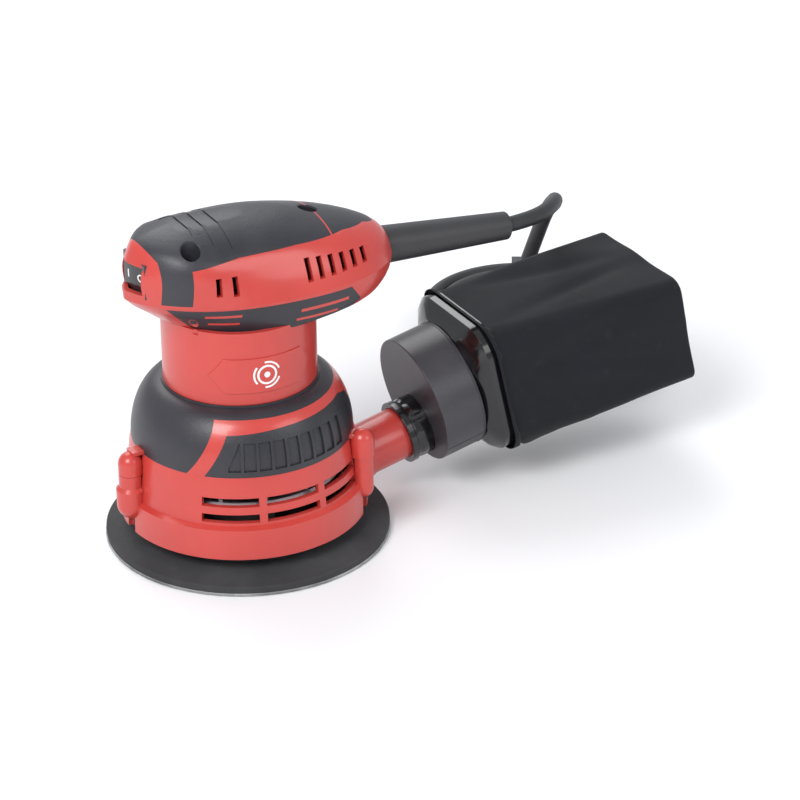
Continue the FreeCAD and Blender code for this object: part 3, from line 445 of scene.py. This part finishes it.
def grid_faces(rows: int, columns: int, closed: bool, caps: bool, flip: bool = False) -> list[list[int]]:
    """Faces of a grid whose rows are rings.

    Args:
        rows: Number of rings.
        columns: Points in each ring.
        closed: Whether each ring closes on itself.
        caps: Whether the first and last ring are filled.
        flip: Whether the faces are turned over.

    Returns:
        Lists of point numbers.
    """
    r, c = np.meshgrid(np.arange(rows - 1), np.arange(columns if closed else columns - 1), indexing="ij")
    after = (c + 1) % columns
    quads = np.stack([r * columns + c, r * columns + after, (r + 1) * columns + after,
                      (r + 1) * columns + c], -1).reshape(-1, 4)
    faces = quads.tolist()
    if caps:
        faces.append(list(range(columns))[::-1])
        faces.append(list(range((rows - 1) * columns, rows * columns)))
    return [f[::-1] for f in faces] if flip else faces


def smooth_curve(points: np.ndarray, count: int, closed: bool) -> np.ndarray:
    """Points on a Catmull-Rom curve through the given ones.

    Each span is a cubic whose end slopes are half the chord between its neighbours.

    Args:
        points: Rows of coordinates.
        count: How many points come out of each span.
        closed: Whether the curve returns to its start.

    Returns:
        The finer rows.
    """
    p = np.asarray(points, float)
    if closed:
        p = np.vstack([p[-1:], p, p[:2]])
    else:
        p = np.vstack([2 * p[:1] - p[1:2], p, 2 * p[-1:] - p[-2:-1]])
    t = (np.arange(count) / count)[:, None, None]
    a, b, c, d = (p[k:len(p) - 3 + k][None] for k in range(4))
    spans = b + 0.5 * t * (c - a + t * (2 * a - 5 * b + 4 * c - d + t * (3 * (b - c) + d - a)))
    fine = spans.transpose(1, 0, 2).reshape(-1, p.shape[1])
    return fine if closed else np.vstack([fine, p[-2]])


def frames_along(path: np.ndarray) -> tuple[np.ndarray, np.ndarray, np.ndarray]:
    """Tangents and two steady cross directions along a path.

    The first cross direction is carried along by removing its part along each new tangent.

    Args:
        path: Rows of points.

    Returns:
        Tangents, first cross directions and second cross directions.
    """
    tangent = np.gradient(path, axis=0)
    tangent /= np.linalg.norm(tangent, axis=1, keepdims=True)
    start = np.cross(tangent[0], (0.0, 1.0, 0.0))
    if np.linalg.norm(start) < 0.1:
        start = np.cross(tangent[0], (0.0, 0.0, 1.0))
    side = np.empty_like(path)
    current = start / np.linalg.norm(start)
    for k, t in enumerate(tangent):
        current = current - t * (current @ t)
        current = current / np.linalg.norm(current)
        side[k] = current
    return tangent, side, np.cross(tangent, side)


def swept(path: np.ndarray, radii: np.ndarray, sides: int = 32) -> tuple[np.ndarray, list[list[int]]]:
    """A round section of changing radius carried along a path.

    Point = path + radius (cos a side + sin a up) for each turn angle a.

    Args:
        path: Rows of points.
        radii: Radius at each of them.
        sides: Points round the section.

    Returns:
        Points and faces, capped at both ends.
    """
    _, side, up = frames_along(path)
    a = np.arange(sides) * math.tau / sides
    rings = path[:, None] + np.asarray(radii)[:, None, None] * (
        np.cos(a)[None, :, None] * side[:, None] + np.sin(a)[None, :, None] * up[:, None])
    return rings.reshape(-1, 3), grid_faces(len(path), sides, True, True)


def on_duct(points: np.ndarray, up: float = 0.0) -> np.ndarray:
    """Moves points from the Z axis onto the dust outlet's axis.

    The point's -X becomes up, and its Z becomes the distance along the outlet.

    Args:
        points: Rows of coordinates in millimetres.
        up: How far they are raised from the outlet's axis.

    Returns:
        The moved rows.
    """
    tilt = math.radians(DUCT_TILT)
    along = np.array([math.cos(tilt), 0, math.sin(tilt)])
    raised = np.array([-math.sin(tilt), 0, math.cos(tilt)])
    p = np.asarray(points, float)
    return (np.array(DUCT_ROOT) + (up - p[:, :1]) * raised + p[:, 1:2] * np.array([0, 1.0, 0])
            + p[:, 2:3] * along)


def refined_copy(node: str, bevel: float, smooth: float = 32.0, segments: int = 3) -> bpy.types.Object:
    """A welded copy of a CAD node with softened edges, which stands for it.

    Args:
        node: The CAD node.
        bevel: Edge radius in millimetres.
        smooth: Edges sharper than this many degrees are rounded.
        segments: Steps across each rounded edge.

    Returns:
        The copy.
    """
    import bmesh
    source = frame["nodes"][node]
    copy = bpy.data.objects.new(node + "_fine", source.data.copy())
    bpy.context.scene.collection.objects.link(copy)
    mesh = bmesh.new()
    mesh.from_mesh(copy.data)
    bmesh.ops.remove_doubles(mesh, verts=mesh.verts, dist=2e-6)
    bmesh.ops.dissolve_degenerate(mesh, dist=1e-7, edges=mesh.edges)
    flat = [e for e in mesh.edges if len(e.link_faces) == 2 and e.calc_face_angle(0.0) < math.radians(0.4)]
    bmesh.ops.dissolve_edges(mesh, edges=flat, use_verts=False)
    mesh.to_mesh(copy.data)
    mesh.free()
    for name in [a.name for a in copy.data.attributes if a.name in ("custom_normal", "sharp_edge")]:
        copy.data.attributes.remove(copy.data.attributes[name])
    shade(copy, smooth)
    if bevel > 0:
        modifier = copy.modifiers.new("soft_edges", "BEVEL")
        modifier.width = bevel * MM
        modifier.segments = segments
        modifier.limit_method = "ANGLE"
        modifier.angle_limit = math.radians(smooth)
        modifier.use_clamp_overlap = True
        modifier.harden_normals = True
        modifier.miter_outer = "MITER_ARC"
    body = next(b for b in Body if node in frame["record"]["behaviour"]["bodies"][b.value])
    place(copy, body, SLOT_OF[node], (node,))
    return copy


# ---- the object's pieces ---------------------------------------------------
@dataclass
class SubAssembly:
    """A group of pieces that ride on one body."""

    body: Body
    refined: dict[str, float] = field(default_factory=dict)

    def build(self) -> None:
        """Makes the softened copies, then the details."""
        for node, bevel in self.refined.items():
            refined_copy(node, bevel)
        self.details()

    def details(self) -> None:
        """Makes the pieces that the CAD model doesn't have."""


@dataclass
class Studio:
    """Camera, floor and lights."""

    place: Point = (-506.2, -1085.6, 664.4)
    target: Point = (56.9, -37.1, 63.5)
    roll_deg: float = -0.56
    lens: float = 141.4

    def build(self) -> None:
        """Makes the whole set."""
        self.camera()
        self.floor()
        self.lights()

    def camera(self) -> None:
        """Puts the camera where the tool is seen from the front left and above."""
        data = bpy.data.cameras.new("camera")
        data.lens = self.lens
        data.sensor_width = 36.0
        data.clip_end = 20.0
        obj = bpy.data.objects.new("camera", data)
        bpy.context.scene.collection.objects.link(obj)
        forward = Vector(self.target) - Vector(self.place)
        turn = forward.to_track_quat("-Z", "Y") @ Quaternion((0, 0, 1), math.radians(self.roll_deg))
        obj.matrix_world = Matrix.Translation(Vector(self.place) * MM) @ turn.to_matrix().to_4x4()
        bpy.context.scene.camera = obj

    def floor(self) -> None:
        """Lays a pale floor that the object stands on."""
        half = 6.0
        mesh = bpy.data.meshes.new("floor")
        mesh.from_pydata([(-half, -half, -0.0002), (half, -half, -0.0002), (half, half, -0.0002),
                          (-half, half, -0.0002)], [], [(0, 1, 2, 3)])
        obj = bpy.data.objects.new("floor", mesh)
        bpy.context.scene.collection.objects.link(obj)
        material = bpy.data.materials.new("floor")
        material.use_nodes = True
        g = Graph(material.node_tree)
        shader = g.add("ShaderNodeBsdfPrincipled", {"Base Color": (0.86, 0.86, 0.87, 1), "Roughness": 0.75})
        g.add("ShaderNodeOutputMaterial", {"Surface": shader.outputs[0]})
        mesh.materials.append(material)

    def lights(self) -> None:
        """Hangs a broad key lamp, a fill, a rim lamp and a pale sky."""
        lamps = (("key", (-1.1, -0.7, 1.3), (0.0, 0, 0.07), 0.8, 24.0),
                 ("fill", (0.9, -1.5, 1.1), (0.08, 0, 0.06), 0.9, 8.0),
                 ("rim", (0.3, 1.5, 1.6), (0.05, 0, 0.06), 1.4, 20.0))
        for name, where, aim, size, watts in lamps:
            data = bpy.data.lights.new(name, "AREA")
            data.size = size
            data.energy = watts
            obj = bpy.data.objects.new(name, data)
            bpy.context.scene.collection.objects.link(obj)
            turn = (Vector(aim) - Vector(where)).to_track_quat("-Z", "Y")
            obj.matrix_world = Matrix.Translation(Vector(where)) @ turn.to_matrix().to_4x4()
        world = bpy.data.worlds.new("sky")
        world.use_nodes = True
        g = Graph(world.node_tree)
        sky = g.add("ShaderNodeBackground", {"Color": (0.93, 0.95, 1.0, 1), "Strength": 0.62})
        g.add("ShaderNodeOutputWorld", {"Surface": sky.outputs[0]})
        bpy.context.scene.world = world
        bpy.context.scene.view_settings.view_transform = "Standard"


@dataclass
class PadSet(SubAssembly):
    """The foam pad and its hook face."""

    hooks: int = 9000

    def details(self) -> None:
        """Makes the fuzz of fine hooks round the edge."""
        self.edge_hooks()

    def edge_hooks(self) -> None:
        """Fine hooks that stand out of the hook layer's rim.

        Each is a bent four-sided sliver: root at radius R on the rim, tip at R + length, with
        a random lean round the rim and up or down.
        """
        rng = np.random.default_rng(7)
        n = self.hooks
        a = rng.uniform(0, math.tau, n)
        z = rng.uniform(0.15, 1.15, n)
        length = rng.uniform(0.12, 0.42, n)
        lean = rng.uniform(-0.35, 0.35, n)
        lift = rng.uniform(-0.1, 0.25, n)
        thick = 0.07
        out = np.stack([np.cos(a), np.sin(a), np.zeros(n)], -1)
        round_ = np.stack([-np.sin(a), np.cos(a), np.zeros(n)], -1)
        up = np.array([0, 0, 1.0])
        root = out * (PAD_R - 0.08) + up * z[:, None] + np.array([ORBIT_OFFSET, 0, 0])
        middle = root + out * (0.08 + 0.7 * length)[:, None] + round_ * (0.5 * lean * length)[:, None]
        slant = (round_ * lean[:, None] + up * lift[:, None]) * length[:, None]
        tip = root + out * (0.08 + length)[:, None] + slant
        tip[:, 2] = np.clip(tip[:, 2], 0.05, 1.3)
        corners = []
        for centre, width in ((root, thick), (middle, thick * 0.8), (tip, thick * 0.35)):
            corners += [centre + round_ * width, centre + up * width,
                        centre - round_ * width, centre - up * width]
        points = np.stack(corners, 1).reshape(-1, 3)
        pattern = []
        for ring in (0, 4):
            pattern += [[ring + k, ring + (k + 1) % 4, ring + 4 + (k + 1) % 4, ring + 4 + k]
                        for k in range(4)]
        pattern += [[8, 9, 10, 11], [3, 2, 1, 0]]
        faces = (np.arange(n)[:, None, None] * 12 + np.array(pattern)[None]).reshape(-1, 4)
        add_piece("hook_fuzz", points, faces.tolist(), self.body, "hook_face", smooth=180)


@dataclass
class HeadSet(SubAssembly):
    """The head's small details: well liners and the badge's mark."""

    def details(self) -> None:
        """Makes the details."""
        for number, (x, y) in enumerate(COVER_SCREWS):
            self.well_liner(number, x, y)
        self.badge_mark()

    def well_liner(self, number: int, x: float, y: float) -> None:
        """A dark sleeve in a screw well, whose upper edge follows the grip round it.

        Args:
            number: The well's number.
            x: Its middle along the tool, in millimetres.
            y: Its middle across the tool.
        """
        grip = frame["nodes"]["top_grip"]
        tree = BVHTree.FromPolygons([v.co for v in grip.data.vertices],
                                    [p.vertices for p in grip.data.polygons])
        sides = 48
        a = np.arange(sides) * math.tau / sides
        rim = []
        for angle in a:
            start = Vector((x + (WELL_R + 0.3) * math.cos(angle),
                            y + (WELL_R + 0.3) * math.sin(angle), 200)) * MM
            hit = tree.ray_cast(start, Vector((0, 0, -1)))[0]
            rim.append(hit.z / MM - 0.2 if hit else WELL_FLOOR_Z + 6)
        rows = ((WELL_R - 0.03, np.array(rim)), (WELL_R - 0.35, np.array(rim) - 0.25),
                (WELL_R - 0.35, np.full(sides, WELL_FLOOR_Z + 0.12)),
                (WELL_R - 0.03, np.full(sides, WELL_FLOOR_Z + 0.05)))
        points = np.vstack([np.stack([x + r * np.cos(a), y + r * np.sin(a), z], -1) for r, z in rows])
        faces = grid_faces(len(rows), sides, True, False)
        back = [[3 * sides + k, 3 * sides + (k + 1) % sides, (k + 1) % sides, k] for k in range(sides)]
        add_piece(f"well_liner_{number}", points, faces + back, self.body, "black_grip")

    def badge_mark(self) -> None:
        """A plain white ring with three short arcs, which stands for the pad's orbit.

        Each stroke is a strip between radii r0 and r1 from angle t0 to t1, laid on the neck's cylinder:
        point = (R sin w, -R cos w, z) with w = offset / R.
        """
        strokes = [(3.5, 4.4, 0, 360)] + [(5.3, 6.1, k * 120 + 20, k * 120 + 100) for k in range(3)]
        strokes += [(0.0, 1.3, 0, 360)]
        points: list[np.ndarray] = []
        faces: list[list[int]] = []
        count = 0
        for r0, r1, t0, t1 in strokes:
            steps = max(8, int((t1 - t0) / 6)) + 1
            t = np.radians(np.linspace(t0, t1, steps))
            ring = np.concatenate([np.stack([r * np.cos(t), r * np.sin(t)], -1) for r in (r0, r1)])
            layers = [self.on_neck(ring, lift) for lift in (0.52, 0.62)]
            points += layers
            n = steps
            for k in range(n - 1):
                low, high = count + k, count + 2 * n + k
                faces += [[high, high + 1, high + n + 1, high + n], [low, low + n, low + n + 1, low + 1],
                          [low, low + 1, high + 1, high], [low + n, high + n, high + n + 1, low + n + 1]]
            count += 4 * n
        add_piece("badge_mark", np.vstack(points), faces, self.body, "white_mark", smooth=40)

    @staticmethod
    def on_neck(flat: np.ndarray, lift: float) -> np.ndarray:
        """Wraps flat points round the neck on the badge's middle."""
        radius = NECK_R + lift
        w = (BADGE[0] + flat[:, 0]) / radius
        return np.stack([radius * np.sin(w), -radius * np.cos(w), BADGE[1] + flat[:, 1]], -1)


@dataclass
class RockerSet(SubAssembly):
    """The switch rocker and its two marks."""

    def details(self) -> None:
        """Makes the on and off marks."""
        bar = np.array([[-0.45, -1.7], [0.45, -1.7], [0.45, 1.7], [-0.45, 1.7]])
        t = np.arange(32) * math.tau / 32
        self.plate("mark_on", [bar], 4.1)
        self.plate("mark_off", [np.stack([1.75 * np.cos(t), 1.75 * np.sin(t)], -1),
                                np.stack([1.15 * np.cos(t), 1.15 * np.sin(t)], -1)], -4.1)

    def plate(self, name: str, loops: list[np.ndarray], middle: float) -> None:
        """A thin raised mark on one half of the rocker.

        The half's face is x = -5.6 + 1.3 |y| / 8, turned about the rocker's pin.

        Args:
            name: The piece's name.
            loops: One outline, or an outer and an inner one, as side and up offsets.
            middle: Where the mark's middle is across the rocker.
        """
        n = len(loops[0])
        flat = np.vstack(loops)
        layers = []
        for lift in (0.02, -0.12):
            y = middle + flat[:, 0]
            x = -5.6 + 1.3 * np.abs(y) / 8 + lift
            turn = math.radians(ROCKER_TURN)
            layers.append(np.stack([ROCKER_PIVOT[0] + x * math.cos(turn) - y * math.sin(turn),
                                    x * math.sin(turn) + y * math.cos(turn),
                                    ROCKER_PIVOT[2] + flat[:, 1]], -1))
        m = len(flat)
        k = np.arange(n)
        after = (k + 1) % n
        faces = np.stack([k, after, after + m, k + m], -1).tolist()
        if len(loops) == 1:
            faces += [list(range(n))[::-1], list(range(m, m + n))]
        else:
            faces += np.stack([k + n, k + n + m, after + n + m, after + n], -1).tolist()
            faces += np.stack([k, k + n, after + n, after], -1).tolist()
            faces += np.stack([k + m, after + m, after + n + m, k + n + m], -1).tolist()
        add_piece(name, np.vstack(layers), faces, self.body, "white_mark", smooth=30)


@dataclass
class DrumSet(SubAssembly):
    """The bag's drum and collar."""

    def details(self) -> None:
        """Makes the drum's parting rib and the collar's flutes."""
        self.parting_rib()
        self.flutes()

    def parting_rib(self) -> None:
        """A fine moulded rib along the drum's rim and down one side."""
        a = np.radians(np.linspace(0, 360, 121))
        s0, s1 = DRUM_SPAN
        rim = np.stack([DRUM_R * np.cos(a), DRUM_R * np.sin(a), np.full(len(a), s1 - 1.0)], -1)
        verts, faces = swept(on_duct(rim, BAG_UP), np.full(len(rim), 0.25), 8)
        add_piece("drum_rim_rib", verts, faces, self.body, "black_plastic", smooth=60)
        for number, angle in enumerate((-58.0, 122.0)):
            w = math.radians(angle)
            line = np.array([[DRUM_R * math.cos(w), DRUM_R * math.sin(w), s]
                             for s in np.linspace(s0 + 0.5, s1 - 1, 12)])
            verts, faces = swept(on_duct(line, BAG_UP), np.full(12, 0.22), 8)
            add_piece(f"drum_rib_{number}", verts, faces, self.body, "black_plastic", smooth=60)

    def flutes(self) -> None:
        """Low pads round the collar, each a curved plate with thinned ends."""
        for number in range(8):
            a = np.radians(45 * number + np.linspace(4, 41, 13))[None]
            s = np.linspace(27.2, 33.6, 5)[:, None]
            swell = np.sin(np.linspace(0, math.pi, 13))[None] ** 0.4
            r = 13.38 + 0.55 * swell * np.array([0.0, 1, 1, 1, 0.0])[:, None]
            points = np.stack([r * np.cos(a), r * np.sin(a), s + 0 * a], -1).reshape(-1, 3)
            faces = grid_faces(5, 13, False, False, True)
            add_piece(f"collar_pad_{number}", on_duct(points), faces, self.body, "gloss_black", smooth=60)


@dataclass
class CordSet(SubAssembly):
    """The free cord with its stored coil; its plug is not made here."""

    route: tuple[Point, ...] = (
        (146.5, 2.0, 113.6), (163.0, 14.0, 112.2), (173.5, 30.0, 107.0), (178.0, 44.5, 95.5),
        (179.0, 54.5, 79.0), (177.0, 61.5, 60.5), (173.0, 68.0, 42.0), (168.5, 75.5, 25.0),
        (164.5, 85.5, 11.5), (161.5, 99.0, 4.6))
    tail: tuple[Point, ...] = (
        (252.5, 96.0, 8.5), (250.0, 77.0, 9.0), (243.0, 60.5, 11.5), (228.0, 50.5, 13.0))
    centre: tuple[float, float] = (206.0, 115.0)
    outer: float = 45.5
    turns: int = 4

    def coil(self) -> np.ndarray:
        """Two flat layers of turns, wound inwards below and outwards above.

        With u turns from the entry, the angle is 180 deg - 360 deg u. The radius steps by one
        cord width in the last quarter of each turn, and the height steps up near the middle.

        Returns:
            Rows of points, 16 for each turn.
        """
        total = 2 * self.turns - 1.5
        u = np.arange(0, total + 1e-6, 1 / 16)
        step = np.floor(u) + smooth_step((u % 1.0 - 0.75) / 0.25)
        layer = u > self.turns - 0.25 - 1e-6
        inward = np.minimum(step, self.turns - 1)
        outward = np.clip(2 * (self.turns - 1) - step, 0, self.turns - 1)
        radius = self.outer - CORD_D * np.where(layer, outward, inward)
        z = CORD_D * (0.5 + smooth_step((u - (self.turns - 0.6)) / 0.35))
        angle = math.pi - math.tau * u
        return np.stack([self.centre[0] + radius * np.cos(angle),
                         self.centre[1] + radius * np.sin(angle), z], -1)

    def guard_end(self) -> np.ndarray:
        """The point where the cord leaves its guard."""
        droop = math.radians(GUARD_DROOP)
        return np.array(GUARD_START) + GUARD_LENGTH * np.array([math.cos(droop), 0, -math.sin(droop)])

    def details(self) -> None:
        points = np.vstack([self.guard_end()[None], self.route, self.coil(), self.tail])
        curve = bpy.data.curves.new("mains_cord", "CURVE")
        curve.dimensions = "3D"
        spline = curve.splines.new("NURBS")
        spline.points.add(len(points) - 1)
        spline.points.foreach_set("co", np.hstack([points * MM, np.ones((len(points), 1))]).ravel())
        spline.order_u = 3
        spline.use_endpoint_u = True
        spline.resolution_u = 6
        curve.bevel_depth = CORD_D / 2 * MM
        curve.bevel_resolution = 5
        curve.use_fill_caps = True
        obj = bpy.data.objects.new("mains_cord", curve)
        bpy.context.scene.collection.objects.link(obj)
        place(obj, self.body, "cord_jacket", ("cord", "cord_tail", "cord_coil"))
        fine = smooth_curve(points, 8, False)


def smooth_step(t):
    """0 below 0, 1 above 1, and t t (3 - 2 t) between them."""
    t = np.clip(t, 0.0, 1.0)
    return t * t * (3 - 2 * t)


@dataclass
class BagSet(SubAssembly):
    """The cloth dust bag, whose mouth hems over its frame."""

    start: float = 63.5
    end: float = 158.5
    mouth: tuple[float, float] = (65.0, 66.0)
    tail: tuple[float, float] = (52.5, 69.0)
    droop: float = 7.4
    around: int = 168
    rings: int = 60

    def ring(self, share: float) -> np.ndarray:
        """One ring of the bag: a rounded rectangle, evenly stepped along its edge.

        Its corner points are (a - r + r cos t, b - r + r sin t) and their mirror images.

        Args:
            share: How far along the bag, from 0 at the mouth to 1 at the tail.

        Returns:
            Rows of down, side and along offsets in millimetres.
        """
        high = (self.mouth[0] + share * (self.tail[0] - self.mouth[0])) / 2
        wide = (self.mouth[1] + share * (self.tail[1] - self.mouth[1])) / 2
        radius = 14.0 - 8.5 * share ** 0.6
        t = np.linspace(0, math.pi / 2, 10)
        corner = np.stack([radius * np.cos(t), radius * np.sin(t)], -1)
        loop = []
        for k, (sx, sy) in enumerate(((1, 1), (-1, 1), (-1, -1), (1, -1))):
            turn = np.array([[math.cos(k * math.pi / 2), math.sin(k * math.pi / 2)],
                             [-math.sin(k * math.pi / 2), math.cos(k * math.pi / 2)]])
            loop.append(corner @ turn + np.array([sx * (high - radius), sy * (wide - radius)]))
        loop = np.vstack(loop + [loop[0][:1]])
        length = np.concatenate([[0], np.cumsum(np.linalg.norm(np.diff(loop, axis=0), axis=1))])
        steps = np.arange(self.around) / self.around * length[-1]
        x = np.interp(steps, length, loop[:, 0])
        y = np.interp(steps, length, loop[:, 1])
        along = np.full(len(x), self.start + share * (self.end - self.start))
        return np.stack([x + self.droop * share, -y, along], -1)

    def folds(self, local: np.ndarray) -> np.ndarray:
        """Soft creases of the empty cloth, as a push towards the bag's middle line.

        Each crease is depth exp(-(d / width)^2) sin^2(pi share), where d is the distance from a
        slanting line on the cloth.

        Args:
            local: The bag's points.

        Returns:
            The pushed points.
        """
        share = (local[:, 2] - self.start) / (self.end - self.start)
        middle = np.stack([self.droop * share, np.zeros(len(share))], -1)
        out = local[:, :2] - middle
        angle = np.arctan2(out[:, 1], -out[:, 0])
        push = np.zeros(len(local))
        creases = ((-0.35, 0.5, 0.16, 1.7), (0.45, -0.55, 0.18, 1.5), (-1.15, 0.7, 0.15, 1.9),
                   (-1.95, -0.5, 0.2, 1.8), (1.35, -0.6, 0.16, 1.7), (2.1, 0.5, 0.2, 1.6),
                   (-2.7, 0.3, 0.2, 1.4), (2.8, -0.4, 0.2, 1.4), (-1.5, -0.9, 0.12, 1.2))
        for where, slant, width, depth in creases:
            off = np.angle(np.exp(1j * (angle - where - slant * (share - 0.5))))
            push += depth * np.exp(-(off / width) ** 2) * np.sin(math.pi * np.clip(share, 0, 1)) ** 1.3
        push += 0.6 * np.sin(5 * angle + 4 * share) * np.clip(share, 0, 1) ** 3
        moved = local.copy()
        moved[:, :2] = middle + out * (1 - push / np.linalg.norm(out, axis=1))[:, None]
        return moved

    def details(self) -> None:
        shares = np.linspace(0, 1, self.rings)
        local = np.vstack([self.ring(share) for share in shares])
        quads = grid_faces(self.rings, self.around, True, False, flip=True)
        last = (self.rings - 1) * self.around
        closing, faces = self.end_cap(local[last:last + self.around], last, len(local))
        local = np.vstack([self.folds(local), closing])
        obj = add_piece("dust_bag_cloth", on_duct(local, FRAME_UP), quads + faces, self.body, "bag_cloth",
                        ("dust_bag",), 180)
        self.map_cloth(obj, local)
        self.blow_up(obj)
        self.thicken(obj)

    def thicken(self, obj: bpy.types.Object) -> None:
        """Gives the cloth a finer mesh."""
        finer = obj.modifiers.new("finer", "SUBSURF")
        finer.levels = 1
        finer.render_levels = 1

    def end_cap(self, rim: np.ndarray, rim_start: int, first: int) -> tuple[np.ndarray, list]:
        """Fills the bag's end with rings that shrink to a middle line.

        Args:
            rim: The last ring.
            rim_start: Number of its first point.
            first: Number that the first new point takes.

        Returns:
            New points and faces.
        """
        steps = 14
        middle = rim.mean(0)
        share = (np.arange(1, steps) / steps)[:, None, None]
        core = np.stack([middle[0] + 0 * rim[:, 0], middle[1] + 0 * rim[:, 1], rim[:, 2]], -1)
        rings = rim[None] * (1 - share) + core[None] * share
        rings[..., 2] += 3.0 * np.sin(share[..., 0] * math.pi / 2)
        points = np.vstack([rings.reshape(-1, 3), (middle + np.array([0, 0, 3.0]))[None]])
        n = self.around
        faces = []
        ids = [np.arange(n) + rim_start] + [np.arange(n) + first + k * n for k in range(steps - 1)]
        for a, b in zip(ids[:-1], ids[1:]):
            faces += np.stack([a, b, np.roll(b, -1), np.roll(a, -1)], -1).tolist()
        tip = first + (steps - 1) * n
        last = ids[-1]
        faces += [[int(last[k]), tip, int(last[(k + 1) % n])] for k in range(n)]
        return points, faces

    def map_cloth(self, obj: bpy.types.Object, local: np.ndarray) -> None:
        """Gives the cloth a UV map in millimetres: the way round by the way along."""
        layer = obj.data.uv_layers.new(name="cloth")
        loops = np.empty(len(obj.data.loops), np.int32)
        obj.data.loops.foreach_get("vertex_index", loops)
        side = np.arctan2(local[:, 1], -local[:, 0])
        flat = np.abs(local[:, 2] - local[:, 2].max()) < 3.5
        starts = np.empty(len(obj.data.polygons), np.int32)
        obj.data.polygons.foreach_get("loop_start", starts)
        counts = np.diff(np.append(starts, len(loops)))
        turn = side[loops]
        furthest = np.repeat(np.maximum.reduceat(turn, starts), counts)
        turn = np.where(furthest - turn > math.pi, turn + math.tau, turn)
        u = np.where(flat[loops], local[loops, 1], turn * 36.0)
        v = np.where(flat[loops], local[loops, 0], local[loops, 2])
        layer.data.foreach_set("uv", np.stack([u, v], -1).ravel().astype(np.float32))

    def blow_up(self, obj: bpy.types.Object) -> None:
        """Runs a short cloth simulation with a little air in the bag, then keeps its shape."""
        count = len(obj.data.vertices)
        held = obj.vertex_groups.new(name="held")
        held.add(list(range(self.around * 2)), 1.0, "REPLACE")
        before = np.empty(count * 3)
        obj.data.vertices.foreach_get("co", before)
        cloth = obj.modifiers.new("cloth", "CLOTH")
        settings = cloth.settings
        settings.quality = 6
        settings.mass = 0.12
        settings.tension_stiffness = 18
        settings.compression_stiffness = 12
        settings.shear_stiffness = 6
        settings.bending_stiffness = 0.3
        settings.use_pressure = True
        settings.uniform_pressure_force = 0.5
        settings.shrink_min = -0.02
        settings.vertex_group_mass = "held"
        settings.effector_weights.gravity = 0.25
        cloth.collision_settings.use_self_collision = False
        scene = bpy.context.scene
        for number in range(1, 21):
            scene.frame_set(number)
        shape = obj.evaluated_get(bpy.context.evaluated_depsgraph_get()).to_mesh()
        after = np.empty(count * 3)
        shape.vertices.foreach_get("co", after)
        obj.modifiers.remove(cloth)
        scene.frame_set(1)
        moved = (after - before).reshape(-1, 3)
        far = np.linalg.norm(moved, axis=1, keepdims=True)
        moved *= np.minimum(1.0, 3 * MM / np.maximum(far, 1e-9))
        obj.data.vertices.foreach_set("co", (before.reshape(-1, 3) + moved).ravel())
        obj.data.update()
        LOG.info("bag cloth moved up to %.1f mm", far.max() / MM)


def main() -> None:
    """Dresses the CAD model, then builds every sub-assembly."""
    logging.basicConfig(level=logging.INFO, format="%(name)s: %(message)s")
    for node, obj in frame["nodes"].items():
        dress(obj, SLOT_OF[node])
    Studio().build()
    HeadSet(Body.HOUSING, {"motor_housing": 0.4, "head_cover": 0.35, "top_grip": 0.3, "shoulder_grip": 0.3,
                           "waist_grip": 0.25, "skirt": 0.35, "cord_guard": 0.4, "badge": 0.15}).build()
    RockerSet(Body.ROCKER, {"switch_rocker": 0.4}).build()
    DrumSet(Body.BAG, {"bag_socket": 0.3, "bag_drum": 0.5, "bag_frame": 1.2}).build()
    PadSet(Body.PAD, {"pad_foam": 0.5, "hook_layer": 0.15}).build()
    CordSet(Body.HOUSING).build()
    BagSet(Body.BAG).build()


if __name__ == "__main__":
    main()
